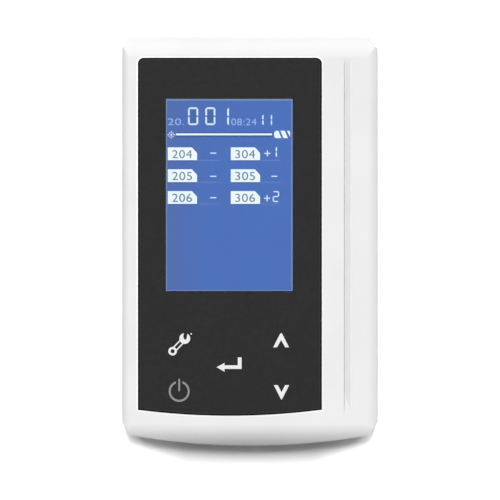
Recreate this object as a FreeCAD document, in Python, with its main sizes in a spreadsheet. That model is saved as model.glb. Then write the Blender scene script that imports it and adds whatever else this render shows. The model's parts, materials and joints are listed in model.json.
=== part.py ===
"""Portable urine analyzer: a hand-sized strip reader with a sliding strip tray.

The part lies on its back. X runs across it, Y along it towards the upper end of the display,
and Z up out of the display. The origin is under the middle, on the surface it rests on.
"""
import FreeCAD
import Part
import math
import os
import re
import Sketcher
from FreeCAD import Rotation, Vector

# Driving sizes in millimetres, apart from counts, shares and one angle
SIZES = {
    # Case
    "body_width": 100, "body_length": 160, "body_depth": 36.5, "wall": 2, "foot_height": 1.5,
    "left_corner_run": 2.8, "right_corner_run": 3.6, "left_top_rise": 3.8, "right_top_rise": 4.7,
    "left_low_rise": 4.8, "right_low_rise": 5.3, "corner_round": 1.2, "end_bow": 267,
    "top_shoulder_run": 8, "top_shoulder_bow": 9.5, "low_shoulder_run": 8.2, "low_shoulder_bow": 9,
    "left_edge_round": 2.6, "left_edge_drop": 1.4, "right_edge_round": 3.8, "right_edge_drop": 1.7,
    "rear_edge_round": 3, "least_round": 0.4,
    "parting_height": 18.5, "seam_gap": 0.3, "tongue_height": 1.5, "tongue_play": 0.1,
    "overrun": 1, "play": 0.15, "fit_play": 0.02,
    # Grooved grip line on the right of the face
    "groove_side_margin": 13.3, "groove_low_margin": 20, "groove_width": 3.2, "groove_depth": 1.1,
    "groove_wall": 0.4, "groove_fade": 8, "groove_rise": 3,
    # Black front panel and the view of the display
    "panel_left_margin": 5.8, "panel_right_margin": 21.9, "panel_top_margin": 7.9, "panel_low_margin": 14,
    "panel_bow": 278, "panel_corner": 1.8, "panel_thickness": 0.5, "panel_play": 0.15,
    "view_side_margin": 10.95, "view_top_margin": 16.2, "key_field": 46.1, "pane_lap": 1.5,
    # Display stack under the pane
    "gasket_thickness": 1, "gasket_rim": 2, "bezel_lip": 0.6, "bezel_rim": 1.2,
    "glass_thickness": 2.4, "glass_lap": 3.5, "light_thickness": 3,
    # Main board and what it carries
    "board_thickness": 1.6, "board_left_margin": 5, "board_low_margin": 15, "board_top_margin": 3.5,
    "board_guide_gap": 5.2, "board_boss_radius": 2.6, "board_notch_play": 0.4, "board_hole_inset": 3.5,
    "board_hole_left_drop": 14.5, "board_hole_left_rise": 15, "board_hole_right_drop": 8.5,
    "board_hole_right_rise": 16,
    "chip_width": 10, "chip_height": 1.4, "chip_x": -12, "chip_y": -14, "memory_width": 5, "memory_y": -30,
    "radio_width": 12, "radio_length": 18, "radio_height": 2.4, "radio_inset": 11, "radio_y": 8,
    "buzzer_radius": 4.5, "buzzer_height": 4.2, "buzzer_hole": 0.9, "buzzer_inset": 11, "buzzer_y": -24,
    "socket_width": 4, "socket_length": 8, "socket_height": 2, "motor_socket_rise": 11,
    "usb_x": -8, "usb_width": 9, "usb_height": 3.2, "usb_length": 7.6, "usb_skin": 0.35, "usb_setback": 0.4,
    "usb_blade_width": 6.6, "usb_blade_height": 0.7, "usb_back": 1.2,
    # Keys under the panel
    "left_key_inset": 16.6, "middle_key_shift": 0.05, "right_key_inset": 15.9,
    "upper_key_rise": 26, "middle_key_rise": 17.4, "lower_key_rise": 7,
    "key_radius": 3, "key_play": 0.2, "key_flange": 4, "key_flange_height": 0.8, "key_flange_gap": 0.5,
    "key_stem": 1.5, "key_touch_gap": 0.05,
    "switch_width": 6, "switch_height": 3.5, "switch_bore_depth": 2, "switch_button": 1.7,
    "switch_play": 0.08, "switch_rise": 0.9, "switch_well": 0.5,
    # Strip tray and its guide
    "tray_side_margin": 13, "tray_width": 15, "tray_plate": 2.5, "tray_back_margin": 22, "tray_lift": 0.3,
    "bed_width": 9, "bed_height": 2, "channel_width": 6.2, "channel_depth": 1.2, "channel_end": 4,
    "tile_length": 8, "tile_thickness": 1, "tile_end": 1,
    "front_width": 17.4, "mouth_play": 0.3, "mouth_rise": 3.3, "flag_length": 5.5, "flag_width": 0.8,
    "guide_floor": 1.5, "guide_wall": 1.5, "guide_slack": 0.8, "guide_height": 9.5, "guide_front_margin": 9.5,
    "guide_tail": 8, "guide_wall_tail": 2, "guide_lip": 1.8, "guide_lip_height": 1.2,
    # Drive
    "rack_module": 0.6, "rack_margin": 3, "pinion_teeth": 18, "wheel_module": 0.5, "wheel_teeth": 32,
    "motor_teeth": 14, "addendum_share": 0.8, "dedendum_share": 1.05, "pressure_angle": 20, "backlash": 0.04,
    "gear_inset": 14.5, "gear_lift": 0.2, "pinion_height": 3, "gear_hub": 4.4, "hub_height": 2,
    "wheel_height": 2, "gear_shaft": 1, "shaft_play": 0.05, "gear_boss": 2.4,
    "gear_window": 1.1, "motor_radius": 7.5, "motor_height": 9, "motor_shaft": 0.75, "motor_shaft_in": 7,
    "motor_ear_width": 6, "motor_ear_reach": 11.4, "motor_ear_screw": 9.6, "motor_ear_height": 0.8,
    "motor_collar": 2.5, "bracket_thickness": 1.5, "bracket_side": 9.08, "bracket_low_reach": 11.5,
    "bracket_high_reach": 14, "post_radius": 2.4, "post_inset": 3,
    # Optical head above the tray
    "optics_gap": 2, "optics_length": 22, "optics_height": 12, "optics_wall": 3, "optics_floor": 1.5,
    "lens_radius": 3, "lens_thickness": 1.5, "aperture_radius": 2.4, "optics_board": 1.2,
    "sensor_width": 3, "sensor_height": 1, "lamp_radius": 1.5, "lamp_height": 2, "lamp_offset": 5.5,
    "ribbon_width": 6, "ribbon_thickness": 0.3,
    "home_width": 8, "home_length": 5, "home_height": 6, "home_slot": 2.8, "home_base": 1,
    # Battery bay
    "cell_radius": 7.1, "cell_length": 49, "cell_nub_radius": 2.6, "cell_nub": 1.5, "cell_gap": 0.6,
    "cell_side": 0.3, "cell_door_gap": 0.4, "cell_roof_gap": 0.4, "bay_gap": 0.9, "bay_top_margin": 20,
    "leaf_reach": 6.7, "bay_wall": 1.2, "contact_thickness": 0.4, "contact_width": 9, "contact_height": 10,
    "door_play": 0.2, "door_slack": 0.1, "rail_width": 1.2, "rail_height": 0.75, "rail_lift": 0.15,
    "rail_web": 1, "rail_roof": 0.25, "grip_width": 1, "grip_depth": 0.5, "grip_pitch": 2.2,
    "grip_length": 18, "grip_end_margin": 9,
    # Fasteners and feet
    "boss_radius": 3.8, "screw_seat": 14.5, "shell_screw": 1.3, "shell_screw_length": 14,
    "shell_screw_head": 2.4, "shell_screw_cap": 1.6, "screw_clearance": 0.2, "board_screw": 1,
    "board_screw_head": 1.9, "board_screw_cap": 1.2, "board_screw_length": 6.5, "thread_reserve": 1,
    "guide_screw_bite": 1.2, "guide_screw_reach": 6.7, "guide_screw_tail": 5,
    "foot_radius": 4, "foot_sink": 0.5, "foot_bevel": 0.4, "foot_side_margin": 8.5, "foot_end_margin": 19,
    "upper_boss_side": 6, "upper_boss_end": 10, "lower_boss_side": 6.5, "lower_boss_end": 10.5,
    "mouth_boss_side": 15.5, "mouth_boss_end": 8.5,
}

CELLS = 4
GRIP_LINES = 5

# Places worked out from the sizes, in the order in which they build on each other
PLACES = {}
for kind, inset in (("outer", "0"), ("middle", "wall / 2"),
                    ("tongue", "wall / 2 + tongue_play"), ("inner", "wall")):
    PLACES[kind + "_half"] = f"body_width / 2 - ({inset})"
    PLACES[kind + "_top"] = f"body_length / 2 - ({inset})"
    PLACES[kind + "_bow"] = f"end_bow - ({inset})"
    for side in ("left", "right"):
        PLACES[f"{kind}_{side}_corner"] = f"{kind}_half - {side}_corner_run"
        PLACES[f"{kind}_{side}_low"] = (f"{inset} - body_length / 2 + {kind}_bow"
                                        f" - sqrt({kind}_bow ^ 2 - {kind}_{side}_corner ^ 2)")
for kind, inset in (("outer", "0"), ("inner", "wall")):
    PLACES[kind + "_rear_z"] = f"foot_height + {inset}"
    PLACES[kind + "_face_z"] = f"foot_height + body_depth - ({inset})"
    for edge in ("rear", "left", "right"):
        PLACES[f"{kind}_{edge}_round"] = f"max({edge}_edge_round - ({inset}); least_round)"
    for edge in ("left", "right"):
        run, drop = f"{kind}_{edge}_round", f"{kind}_{edge}_drop"
        PLACES[drop] = f"{edge}_edge_drop" if kind == "outer" else run
        PLACES[f"{kind}_{edge}_bow"] = f"({run} ^ 2 + {drop} ^ 2) / (2 * {drop})"
    for end in ("top", "low"):
        PLACES[f"{kind}_{end}_bow"] = f"{end}_shoulder_bow - ({inset})"
        PLACES[f"{kind}_{end}_z"] = (
            f"{kind}_face_z - {kind}_{end}_bow"
            f" + sqrt({kind}_{end}_bow ^ 2 - ({end}_shoulder_run - ({inset})) ^ 2)")
PLACES.update({
    "parting_z": "foot_height + parting_height",
    "panel_floor_z": "outer_face_z - panel_thickness",
    "panel_left": "panel_left_margin - body_width / 2",
    "panel_right": "body_width / 2 - panel_right_margin",
    "panel_top": "body_length / 2 - panel_top_margin",
    "panel_low": "panel_low_margin - body_length / 2",
    "view_x": "(panel_left + panel_right) / 2",
    "view_width": "panel_right - panel_left - 2 * view_side_margin",
    "view_top": "panel_top - view_top_margin",
    "view_length": "view_top - panel_low - key_field",
    "view_y": "view_top - view_length / 2",
    "groove_x": "body_width / 2 - groove_side_margin",
    "groove_low_y": "groove_low_margin - body_length / 2",
    "bezel_top_z": "inner_face_z - gasket_thickness",
    "glass_top_z": "bezel_top_z - bezel_lip",
    "light_top_z": "glass_top_z - glass_thickness",
    "board_top_z": "light_top_z - light_thickness",
    "board_z": "board_top_z - board_thickness",
    "left_key_x": "panel_left + left_key_inset",
    "middle_key_x": "view_x + middle_key_shift",
    "right_key_x": "panel_right - right_key_inset",
    "upper_key_y": "panel_low + upper_key_rise",
    "middle_key_y": "panel_low + middle_key_rise",
    "lower_key_y": "panel_low + lower_key_rise",
    "switch_top_z": "board_top_z + switch_height",
    "button_top_z": "switch_top_z + switch_rise",
    "key_flange_top_z": "inner_face_z - key_flange_gap",
    "key_flange_z": "key_flange_top_z - key_flange_height",
    "key_top_z": "panel_floor_z - key_touch_gap",
    "guide_floor_z": "inner_rear_z + guide_floor",
    "tray_z": "guide_floor_z + tray_lift",
    "plate_top_z": "tray_z + tray_plate",
    "bed_top_z": "plate_top_z + bed_height",
    "channel_z": "bed_top_z - channel_depth",
    "tray_x": "body_width / 2 - tray_side_margin",
    "tray_back_y": "body_length / 2 - tray_back_margin",
    "channel_back_y": "tray_back_y - channel_end",
    "tile_y": "channel_back_y - tile_end - tile_length / 2",
    "tray_left": "tray_x - tray_width / 2",
    "tray_right": "tray_x + tray_width / 2",
    "mouth_z": "outer_rear_z + mouth_rise",
    "mouth_half": "front_width / 2 + mouth_play",
    "guide_half": "tray_width / 2 + guide_slack + guide_wall",
    "guide_left": "tray_x - guide_half",
    "guide_right": "tray_x + guide_half",
    "guide_front_y": "guide_front_margin - body_length / 2",
    "guide_back_y": "tray_back_y + guide_tail",
    "guide_wall_back_y": "tray_back_y + guide_wall_tail",
    "guide_screw_y": "tray_back_y + guide_screw_tail",
    "guide_top_z": "inner_rear_z + guide_height",
    "guide_lip_z": "plate_top_z + tray_lift",
    "pinion_radius": "rack_module * pinion_teeth / 2",
    "wheel_radius": "wheel_module * wheel_teeth / 2",
    "motor_pinion_radius": "wheel_module * motor_teeth / 2",
    "gear_x": "tray_left + addendum_share * rack_module - pinion_radius",
    "gear_y": "guide_front_y + gear_inset",
    "gear_z": "guide_floor_z + gear_lift",
    "hub_z": "gear_z + pinion_height",
    "wheel_z": "hub_z + hub_height",
    "wheel_top_z": "wheel_z + wheel_height",
    "motor_x": "gear_x - wheel_radius - motor_pinion_radius",
    "motor_z": "guide_top_z + bracket_thickness",
    "gear_window_half": "wheel_radius + rack_module + gear_window",
    "bracket_left_x": "motor_x - bracket_side",
    "bracket_low_y": "gear_y - bracket_low_reach",
    "bracket_high_y": "gear_y + bracket_high_reach",
    "post_x": "bracket_left_x + post_inset",
    "post_low_y": "bracket_low_y + post_inset",
    "post_high_y": "bracket_high_y - post_inset",
    "optics_low_y": "bracket_high_y + optics_gap",
    "optics_high_y": "optics_low_y + optics_length",
    "optics_y": "optics_low_y + optics_length / 2",
    "board_left_x": "board_left_margin - body_width / 2",
    "board_right_x": "guide_left - board_guide_gap",
    "board_low_y": "board_low_margin - body_length / 2",
    "board_high_y": "body_length / 2 - board_top_margin",
    "board_hole_left_x": "board_left_x + board_hole_inset",
    "board_hole_right_x": "board_right_x - board_hole_inset",
    "board_hole_left_high_y": "board_high_y - board_hole_left_drop",
    "board_hole_left_low_y": "board_low_y + board_hole_left_rise",
    "board_hole_right_high_y": "board_high_y - board_hole_right_drop",
    "board_hole_right_low_y": "board_low_y + board_hole_right_rise",
    "motor_socket_y": "board_hole_right_low_y + motor_socket_rise",
    "radio_x": "board_left_x + radio_inset",
    "buzzer_x": "board_left_x + buzzer_inset",
    "socket_x": "board_right_x - socket_width",
    "optics_top_z": "guide_top_z + optics_height",
    "optics_board_top_z": "optics_top_z + optics_board",
    "door_top_z": "inner_rear_z - door_slack",
    "cell_pitch": "2 * cell_radius + cell_gap",
    "bay_half": f"{(CELLS - 1) / 2} * cell_pitch + cell_radius + cell_side",
    "bay_inner_half": "bay_half + rail_width",
    "bay_x": "guide_left - bay_gap - bay_wall - bay_inner_half",
    "bay_length": "cell_length + cell_nub + leaf_reach + 2 * contact_thickness",
    "bay_high_y": "body_length / 2 - bay_top_margin",
    "bay_low_y": "bay_high_y - bay_length",
    "cell_z": "inner_rear_z + cell_door_gap + cell_radius",
    "bay_roof_z": "cell_z + cell_radius + cell_roof_gap",
    "rail_z": "inner_rear_z + rail_lift",
    "rail_top_z": "rail_z + rail_height",
    "shelf_z": "rail_top_z + rail_roof",
    "screw_seat_z": "outer_rear_z + screw_seat",
    "foot_x": "body_width / 2 - foot_side_margin",
    "foot_y": "body_length / 2 - foot_end_margin",
    "upper_boss_x": "body_width / 2 - upper_boss_side",
    "upper_boss_y": "body_length / 2 - upper_boss_end",
    "lower_boss_x": "lower_boss_side - body_width / 2",
    "lower_boss_y": "lower_boss_end - body_length / 2",
    "mouth_boss_x": "tray_x - mouth_boss_side",
    "mouth_boss_y": "mouth_boss_end - body_length / 2",
})

doc = FreeCAD.newDocument("urine_analyzer")
NODES = []


def link(formula):
    """Point each name in a formula at its cell."""
    def cell(match):
        word = match.group(0)
        sheet = "Sizes." if word in SIZES else "Places." if word in PLACES else ""
        return sheet + word
    return re.sub(r"[a-z][a-z_]*", cell, formula)


def fill_sheet(title, entries):
    """A sheet with one named cell for each entry."""
    sheet = doc.addObject("Spreadsheet::Sheet", title)
    for row, (name, text) in enumerate(entries, start=1):
        sheet.set(f"A{row}", name)
        sheet.set(f"B{row}", text)
        sheet.setAlias(f"B{row}", name)
    return sheet


sizes = fill_sheet("Sizes", [(name, str(value)) for name, value in SIZES.items()])
places = fill_sheet("Places", [(name, "=" + link(text)) for name, text in PLACES.items()])
doc.recompute()


def number(formula):
    """What a formula comes to, worked out in a spare cell."""
    if formula == "0":
        return 0.0
    places.set("D1", "=" + link(formula))
    places.recompute()
    return float(places.get("D1"))


def bind(piece, prop, formula):
    """Tie a property to a formula."""
    piece.setExpression(prop, link(formula))


def move(piece, x, y, z):
    """Tie a piece's place to three formulas."""
    for axis, formula in zip("xyz", (x, y, z)):
        bind(piece, "Placement.Base." + axis, formula)


def add(label, piece):
    """Name a finished sub-part, which is written to a file of that name."""
    piece.Label = label
    NODES.append(piece)
    return piece


# Solids by their sizes
def box(name, x, y, z):
    """A block between pairs of low and high formulas."""
    piece = doc.addObject("Part::Box", name)
    for prop, (low, high) in zip(("Length", "Width", "Height"), (x, y, z)):
        bind(piece, prop, f"({high}) - ({low})")
    move(piece, x[0], y[0], z[0])
    return piece


def around(middle, width):
    """The low and high formulas of a width about a middle."""
    return (f"({middle}) - ({width}) / 2", f"({middle}) + ({width}) / 2")


def rod(name, radius, x, y, z, length, axis="z"):
    """A round rod from the centre of its first end."""
    piece = doc.addObject("Part::Cylinder", name)
    turns = {"z": Rotation(), "y": Rotation(Vector(1, 0, 0), -90)}
    piece.Placement = FreeCAD.Placement(Vector(), turns[axis])
    bind(piece, "Radius", radius)
    bind(piece, "Height", length)
    move(piece, x, y, z)
    return piece


def fuse(name, *pieces):
    """Pieces joined into one, or kept as a group where they lie apart."""
    if len(pieces) == 1:
        return pieces[0]
    piece = doc.addObject("Part::MultiFuse", name)
    piece.Shapes = list(pieces)
    piece.Refine = True
    return piece


def cut(name, base, *tools):
    """A piece less its cutters."""
    piece = doc.addObject("Part::Cut", name)
    piece.Base = base
    piece.Tool = fuse(name + "_cutters", *tools)
    piece.Refine = True
    return piece


def common(name, *pieces):
    """What all the pieces share."""
    piece = doc.addObject("Part::MultiCommon", name)
    piece.Shapes = list(pieces)
    piece.Refine = True
    return piece


# Sketches whose every corner is tied to the sheet
def pin_corner(sketch, edge, position, formulas):
    """Hold one corner at its two formulas."""
    for kind, formula in zip(("DistanceX", "DistanceY"), formulas):
        if formula == "0":
            axis = -2 if kind == "DistanceX" else -1
            sketch.addConstraint(Sketcher.Constraint("PointOnObject", edge, position, axis))
            continue
        index = sketch.addConstraint(Sketcher.Constraint(kind, edge, position, number(formula)))
        bind(sketch, f"Constraints[{index}]", formula)


def draw_loop(sketch, corners, bows):
    """A closed outline, anticlockwise; a bow is the radius of the edge that leaves a corner."""
    points = [Vector(number(x), number(y), 0) for x, y in corners]
    first = sketch.GeometryCount
    count = len(points)
    for index, start in enumerate(points):
        end = points[(index + 1) % count]
        if index not in bows:
            sketch.addGeometry(Part.LineSegment(start, end), False)
            continue
        radius = number(bows[index])
        chord = end - start
        rise = math.sqrt(radius ** 2 - (chord.Length / 2) ** 2)
        side = Vector(-chord.y, chord.x, 0).normalize()
        middle = (start + end) * 0.5 + side * rise
        angles = [math.atan2(point.y - middle.y, point.x - middle.x) for point in (start, end)]
        circle = Part.Circle(middle, Vector(0, 0, 1), radius)
        sketch.addGeometry(Part.ArcOfCircle(circle, angles[0], angles[1]), False)
    for index in range(count):
        joined = first + (index + 1) % count
        sketch.addConstraint(Sketcher.Constraint("Coincident", first + index, 2, joined, 1))
    for index, formulas in enumerate(corners):
        pin_corner(sketch, first + index, 1, formulas)
    for index, formula in bows.items():
        row = sketch.addConstraint(Sketcher.Constraint("Radius", first + index, number(formula)))
        bind(sketch, f"Constraints[{row}]", formula)


def rectangle(x, y):
    """The corners between two pairs of formulas."""
    return [(x[0], y[0]), (x[1], y[0]), (x[1], y[1]), (x[0], y[1])]


TURNS = {"plan": Rotation(), "side": Rotation(Vector(1, 1, 1), 120), "front": Rotation(Vector(1, 0, 0), 90)}


def prism(name, plane, corners, low, high, bows=None):
    """An outline drawn in one plane and drawn out from low to high across it."""
    sketch = doc.addObject("Sketcher::SketchObject", name + "_outline")
    sketch.Placement = FreeCAD.Placement(Vector(), TURNS[plane])
    draw_loop(sketch, corners, bows or {})
    start = {"plan": ("0", "0", low), "side": (low, "0", "0"), "front": ("0", high, "0")}[plane]
    for axis, formula in zip("xyz", start):
        if formula != "0":
            bind(sketch, "Placement.Base." + axis, formula)
    piece = doc.addObject("Part::Extrusion", name)
    piece.Base = sketch
    piece.DirMode = "Normal"
    piece.Solid = True
    bind(piece, "LengthFwd", f"({high}) - ({low})")
    return piece


def body_sketch(body, role):
    """A sketch on one of a body's own origin planes."""
    plane = [face for face in body.Origin.OriginFeatures if face.Role == role][0]
    sketch = body.newObject("Sketcher::SketchObject", body.Name + "_sketch")
    sketch.AttachmentSupport = [(plane, "")]
    sketch.MapMode = "FlatFace"
    return sketch


def plate(name, low, high, corners, bows=None, holes=()):
    """A flat piece with an outline seen from above, and its holes."""
    body = doc.addObject("PartDesign::Body", name)
    sketch = body_sketch(body, "XY_Plane")
    draw_loop(sketch, corners, bows or {})
    for hole in holes:
        draw_loop(sketch, hole, {})
    pad = body.newObject("PartDesign::Pad", name + "_pad")
    pad.Profile = sketch
    bind(pad, "Length", f"({high}) - ({low})")
    bind(body, "Placement.Base.z", low)
    return body


def turned(name, section, x, y, z, turn=None):
    """A round piece: its half section, as radius and height, swung about its own axis."""
    body = doc.addObject("PartDesign::Body", name)
    sketch = body_sketch(body, "XZ_Plane")
    draw_loop(sketch, section, {})
    swing = body.newObject("PartDesign::Revolution", name + "_swing")
    swing.Profile = sketch
    swing.ReferenceAxis = (sketch, ["V_Axis"])
    swing.Angle = 360
    body.Placement = FreeCAD.Placement(Vector(), turn or Rotation())
    move(body, x, y, z)
    return body


# Case
def case_plan(kind, low_z, high_z):
    """The case's outline from above at one inset, between two heights."""
    half, top = f"{kind}_half", f"{kind}_top"
    left, right = f"-{kind}_left_corner", f"{kind}_right_corner"
    left_low, right_low = f"{kind}_left_low", f"{kind}_right_low"
    outline = [
        (f"-{half}", f"{left_low} + left_low_rise"), (left, left_low), (right, right_low),
        (half, f"{right_low} + right_low_rise"), (half, f"{top} - right_top_rise"), (right, top),
        (left, top), (f"-{half}", f"{top} - left_top_rise"),
    ]
    return plate(f"{kind}_plan", low_z, high_z, outline, {1: f"{kind}_bow"})


def case_block(kind):
    """The case's whole form at one inset: plan, side and cross outlines, and what they share."""
    half, top, rear, face = (f"{kind}_{word}" for word in ("half", "top", "rear_z", "face_z"))
    plan = case_plan(kind, rear, face)
    if kind == "outer":
        doc.recompute()
        pad = plan.Tip
        upright = [f"Edge{index}" for index, edge in enumerate(plan.Shape.Edges, start=1)
                   if edge.BoundBox.ZLength > number("wall")]
        rounding = plan.newObject("PartDesign::Fillet", "outer_plan_corners")
        rounding.Base = (pad, upright)
        bind(rounding, "Radius", "corner_round")
    ends = [
        (f"-{top}", f"{rear} + {kind}_rear_round"), (f"-{top} + {kind}_rear_round", rear),
        (f"{top} - {kind}_rear_round", rear), (top, f"{rear} + {kind}_rear_round"),
        (top, f"{kind}_top_z"), ("body_length / 2 - top_shoulder_run", face),
        ("low_shoulder_run - body_length / 2", face), (f"-{top}", f"{kind}_low_z"),
    ]
    bends = {0: "rear_round", 2: "rear_round", 4: "top_bow", 6: "low_bow"}
    side = prism(f"{kind}_side", "side", ends, f"-{half} - overrun", f"{half} + overrun",
                 {index: f"{kind}_{word}" for index, word in bends.items()})
    rounds = {0: "rear_round", 2: "rear_round", 4: "right_bow", 6: "left_bow"}
    across = [
        (f"-{half}", f"{rear} + {kind}_rear_round"), (f"-{half} + {kind}_rear_round", rear),
        (f"{half} - {kind}_rear_round", rear), (half, f"{rear} + {kind}_rear_round"),
        (half, f"{face} - {kind}_right_drop"), (f"{half} - {kind}_right_round", face),
        (f"{kind}_left_round - {half}", face), (f"-{half}", f"{face} - {kind}_left_drop"),
    ]
    front = prism(f"{kind}_across", "front", across, f"-{top} - overrun", f"{top} + overrun",
                  {index: f"{kind}_{word}" for index, word in rounds.items()})
    return common(f"{kind}_block", plan, side, front)


WIDE = ("-body_width", "body_width")
LONG = ("-body_length", "body_length")
SHELL_BOSSES = [
    ("-upper_boss_x", "upper_boss_y"), ("upper_boss_x", "upper_boss_y"),
    ("lower_boss_x", "lower_boss_y"), ("mouth_boss_x", "mouth_boss_y"),
]
BOARD_SCREWS = [
    ("board_hole_left_x", "board_hole_left_high_y"), ("board_hole_right_x", "board_hole_right_high_y"),
    ("board_hole_left_x", "board_hole_left_low_y"), ("board_hole_right_x", "board_hole_right_low_y"),
]
POSTS = [("post_x", "post_low_y"), ("post_x", "post_high_y")]
FEET = [("-foot_x", "foot_y"), ("foot_x", "foot_y"), ("-foot_x", "-foot_y"), ("foot_x", "-foot_y")]
GUIDE_SCREWS = [
    ("tray_x - guide_screw_reach", "guide_screw_y"), ("tray_x + guide_screw_reach", "guide_screw_y"),
]
MOTOR_SCREWS = [("motor_x", "gear_y - motor_ear_screw"), ("motor_x", "gear_y + motor_ear_screw")]
KEYS = [
    ("setup", "left_key_x", "upper_key_y"), ("power", "left_key_x", "lower_key_y"),
    ("enter", "middle_key_x", "middle_key_y"), ("up", "right_key_x", "upper_key_y"),
    ("down", "right_key_x", "lower_key_y"),
]


def panel_outline(grow):
    """The front panel's corners and bows, grown all round for the recess it lies in."""
    left, right = f"panel_left - ({grow})", f"panel_right + ({grow})"
    low, top = f"panel_low - ({grow})", f"panel_top + ({grow})"
    corner = f"(panel_corner + {grow})"
    corners = [
        (left, low), (right, low), (right, f"{top} - {corner}"), (f"{right} - {corner}", top),
        (f"{left} + {corner}", top), (left, f"{top} - {corner}"),
    ]
    return corners, {0: f"panel_bow + {grow}", 2: corner, 4: corner}


def rods(name, spots, radius, low, high):
    """Upright rods, one at each spot."""
    return [rod(f"{name}_{index}", radius, x, y, low, f"({high}) - ({low})")
            for index, (x, y) in enumerate(spots, start=1)]


def groove_cutter():
    """The long groove: a steep left wall, a gentle right slope and a run-out at each end."""
    face, floor = "outer_face_z", "outer_face_z - groove_depth"
    above = f"{face} + overrun"
    slope = prism("groove_slope", "front", [
        ("groove_x", face), ("groove_x + groove_wall", floor), ("groove_x + groove_width", face),
        ("groove_x + groove_width", above), ("groove_x", above),
    ], *LONG)
    high_y, fade_y = "body_length / 2 - top_shoulder_run", "groove_low_y - groove_fade"
    fade = prism("groove_fade", "side", [
        (fade_y, face), ("groove_low_y", floor), (f"{high_y} - groove_rise", floor), (high_y, face),
        (high_y, above), (fade_y, above),
    ], *WIDE)
    return common("groove_cutter", slope, fade)


def front_shell(outer, inner):
    """The cover with the face: panel recess, display opening, key holes, groove and bosses."""
    half = box("front_half", WIDE, LONG, ("parting_z + seam_gap", "outer_face_z + overrun"))
    rebate = case_plan("middle", "parting_z", "parting_z + tongue_height + play")
    skin = cut("front_skin", common("front_blank", outer, half), inner, rebate)
    bosses = rods("front_boss", SHELL_BOSSES, "boss_radius", "parting_z", "inner_face_z")
    bosses += rods("board_boss", BOARD_SCREWS, "board_boss_radius", "board_top_z", "inner_face_z")
    solid = fuse("front_solid", skin, *bosses)
    corners, bows = panel_outline("panel_play")
    recess = plate("panel_recess", "panel_floor_z", "outer_face_z + overrun", corners, bows)
    through = ("inner_face_z - overrun", "outer_face_z + overrun")
    opening = box("pane_opening", around("view_x", "view_width + 2 * (pane_lap + play)"),
                  around("view_y", "view_length + 2 * (pane_lap + play)"), through)
    holes = rods("key_hole", [(x, y) for _, x, y in KEYS], "key_radius + key_play", *through)
    holes += rods("shell_thread", SHELL_BOSSES, "shell_screw + fit_play", "parting_z - overrun",
                  "screw_seat_z + shell_screw_length + thread_reserve")
    holes += rods("board_thread", BOARD_SCREWS, "board_screw + fit_play", "board_top_z - overrun",
                  "board_z + board_screw_length + thread_reserve")
    port = box("usb_opening", around("usb_x", "usb_width + 2 * play"),
               ("inner_top - overrun", "outer_top + overrun"),
               ("board_z - usb_height - play", "board_z + play"))
    add("front_shell", cut("front_shell", solid, recess, opening, groove_cutter(), port, *holes))


def rear_shell(outer, inner):
    """The tub with the battery bay, the tray mouth, the posts and the screw bosses."""
    half = box("rear_half", WIDE, LONG, ("outer_rear_z - overrun", "parting_z"))
    skin = cut("rear_skin", common("rear_blank", outer, half), inner)
    ring = case_plan("tongue", "parting_z - tongue_height", "parting_z + tongue_height")
    relief = rods("boss_relief", SHELL_BOSSES, "boss_radius + play",
                  "parting_z", "parting_z + tongue_height + overrun")
    tongue = cut("rear_tongue", ring, inner, *relief)
    bay_outer = around("bay_x", "2 * (bay_inner_half + bay_wall)")
    bay = box("bay_block", bay_outer, ("bay_low_y - bay_wall", "bay_high_y + bay_wall"),
              ("outer_rear_z + wall / 2", "bay_roof_z + bay_wall"))
    shelf = box("shelf_block", bay_outer, ("bay_high_y", "outer_top - wall / 2"),
                ("outer_rear_z + wall / 2", "shelf_z + bay_wall"))
    bosses = rods("rear_boss", SHELL_BOSSES, "boss_radius", "outer_rear_z + wall / 2", "parting_z")
    posts = rods("bracket_post", POSTS, "post_radius", "outer_rear_z + wall / 2", "guide_top_z")
    seat = rods("gear_seat", [("gear_x", "gear_y")], "gear_boss", "outer_rear_z + wall / 2", "guide_floor_z")
    solid = fuse("rear_solid", skin, tongue, bay, shelf, *bosses, *posts, *seat)
    under = "outer_rear_z - overrun"
    bay_inner = around("bay_x", "2 * bay_inner_half")
    rooms = [
        box("cell_room", bay_inner, ("bay_low_y", "bay_high_y"), ("inner_rear_z", "bay_roof_z")),
        box("rail_room", bay_inner, ("bay_low_y", "body_length"), ("inner_rear_z", "shelf_z")),
        box("door_room", around("bay_x", "2 * bay_half"), ("bay_low_y", "body_length"),
            (under, "inner_rear_z + overrun / 2")),
        box("lip_room", bay_inner, ("inner_top", "body_length"), (under, "shelf_z")),
        box("mouth", around("tray_x", "2 * mouth_half"), ("-body_length", "guide_front_y - overrun"),
            ("mouth_z", "parting_z + tongue_height + overrun")),
    ]
    holes = rods("screw_well", SHELL_BOSSES, "shell_screw_head + screw_clearance", under, "screw_seat_z")
    holes += rods("screw_way", SHELL_BOSSES, "shell_screw + screw_clearance", under, "parting_z + overrun")
    holes += rods("foot_sink", FEET, "foot_radius + play", under, "outer_rear_z + foot_sink")
    holes += rods("post_thread", POSTS, "board_screw + fit_play",
                  "motor_z - board_screw_length - thread_reserve", "guide_top_z + overrun")
    holes += rods("guide_thread", GUIDE_SCREWS, "board_screw + fit_play",
                  "inner_rear_z - guide_screw_bite", "inner_rear_z + overrun")
    holes += rods("shaft_seat", [("gear_x", "gear_y")], "gear_shaft + fit_play",
                  "inner_rear_z - guide_screw_bite", "guide_floor_z + overrun")
    add("rear_shell", cut("rear_shell", solid, *rooms, *holes))


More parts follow.
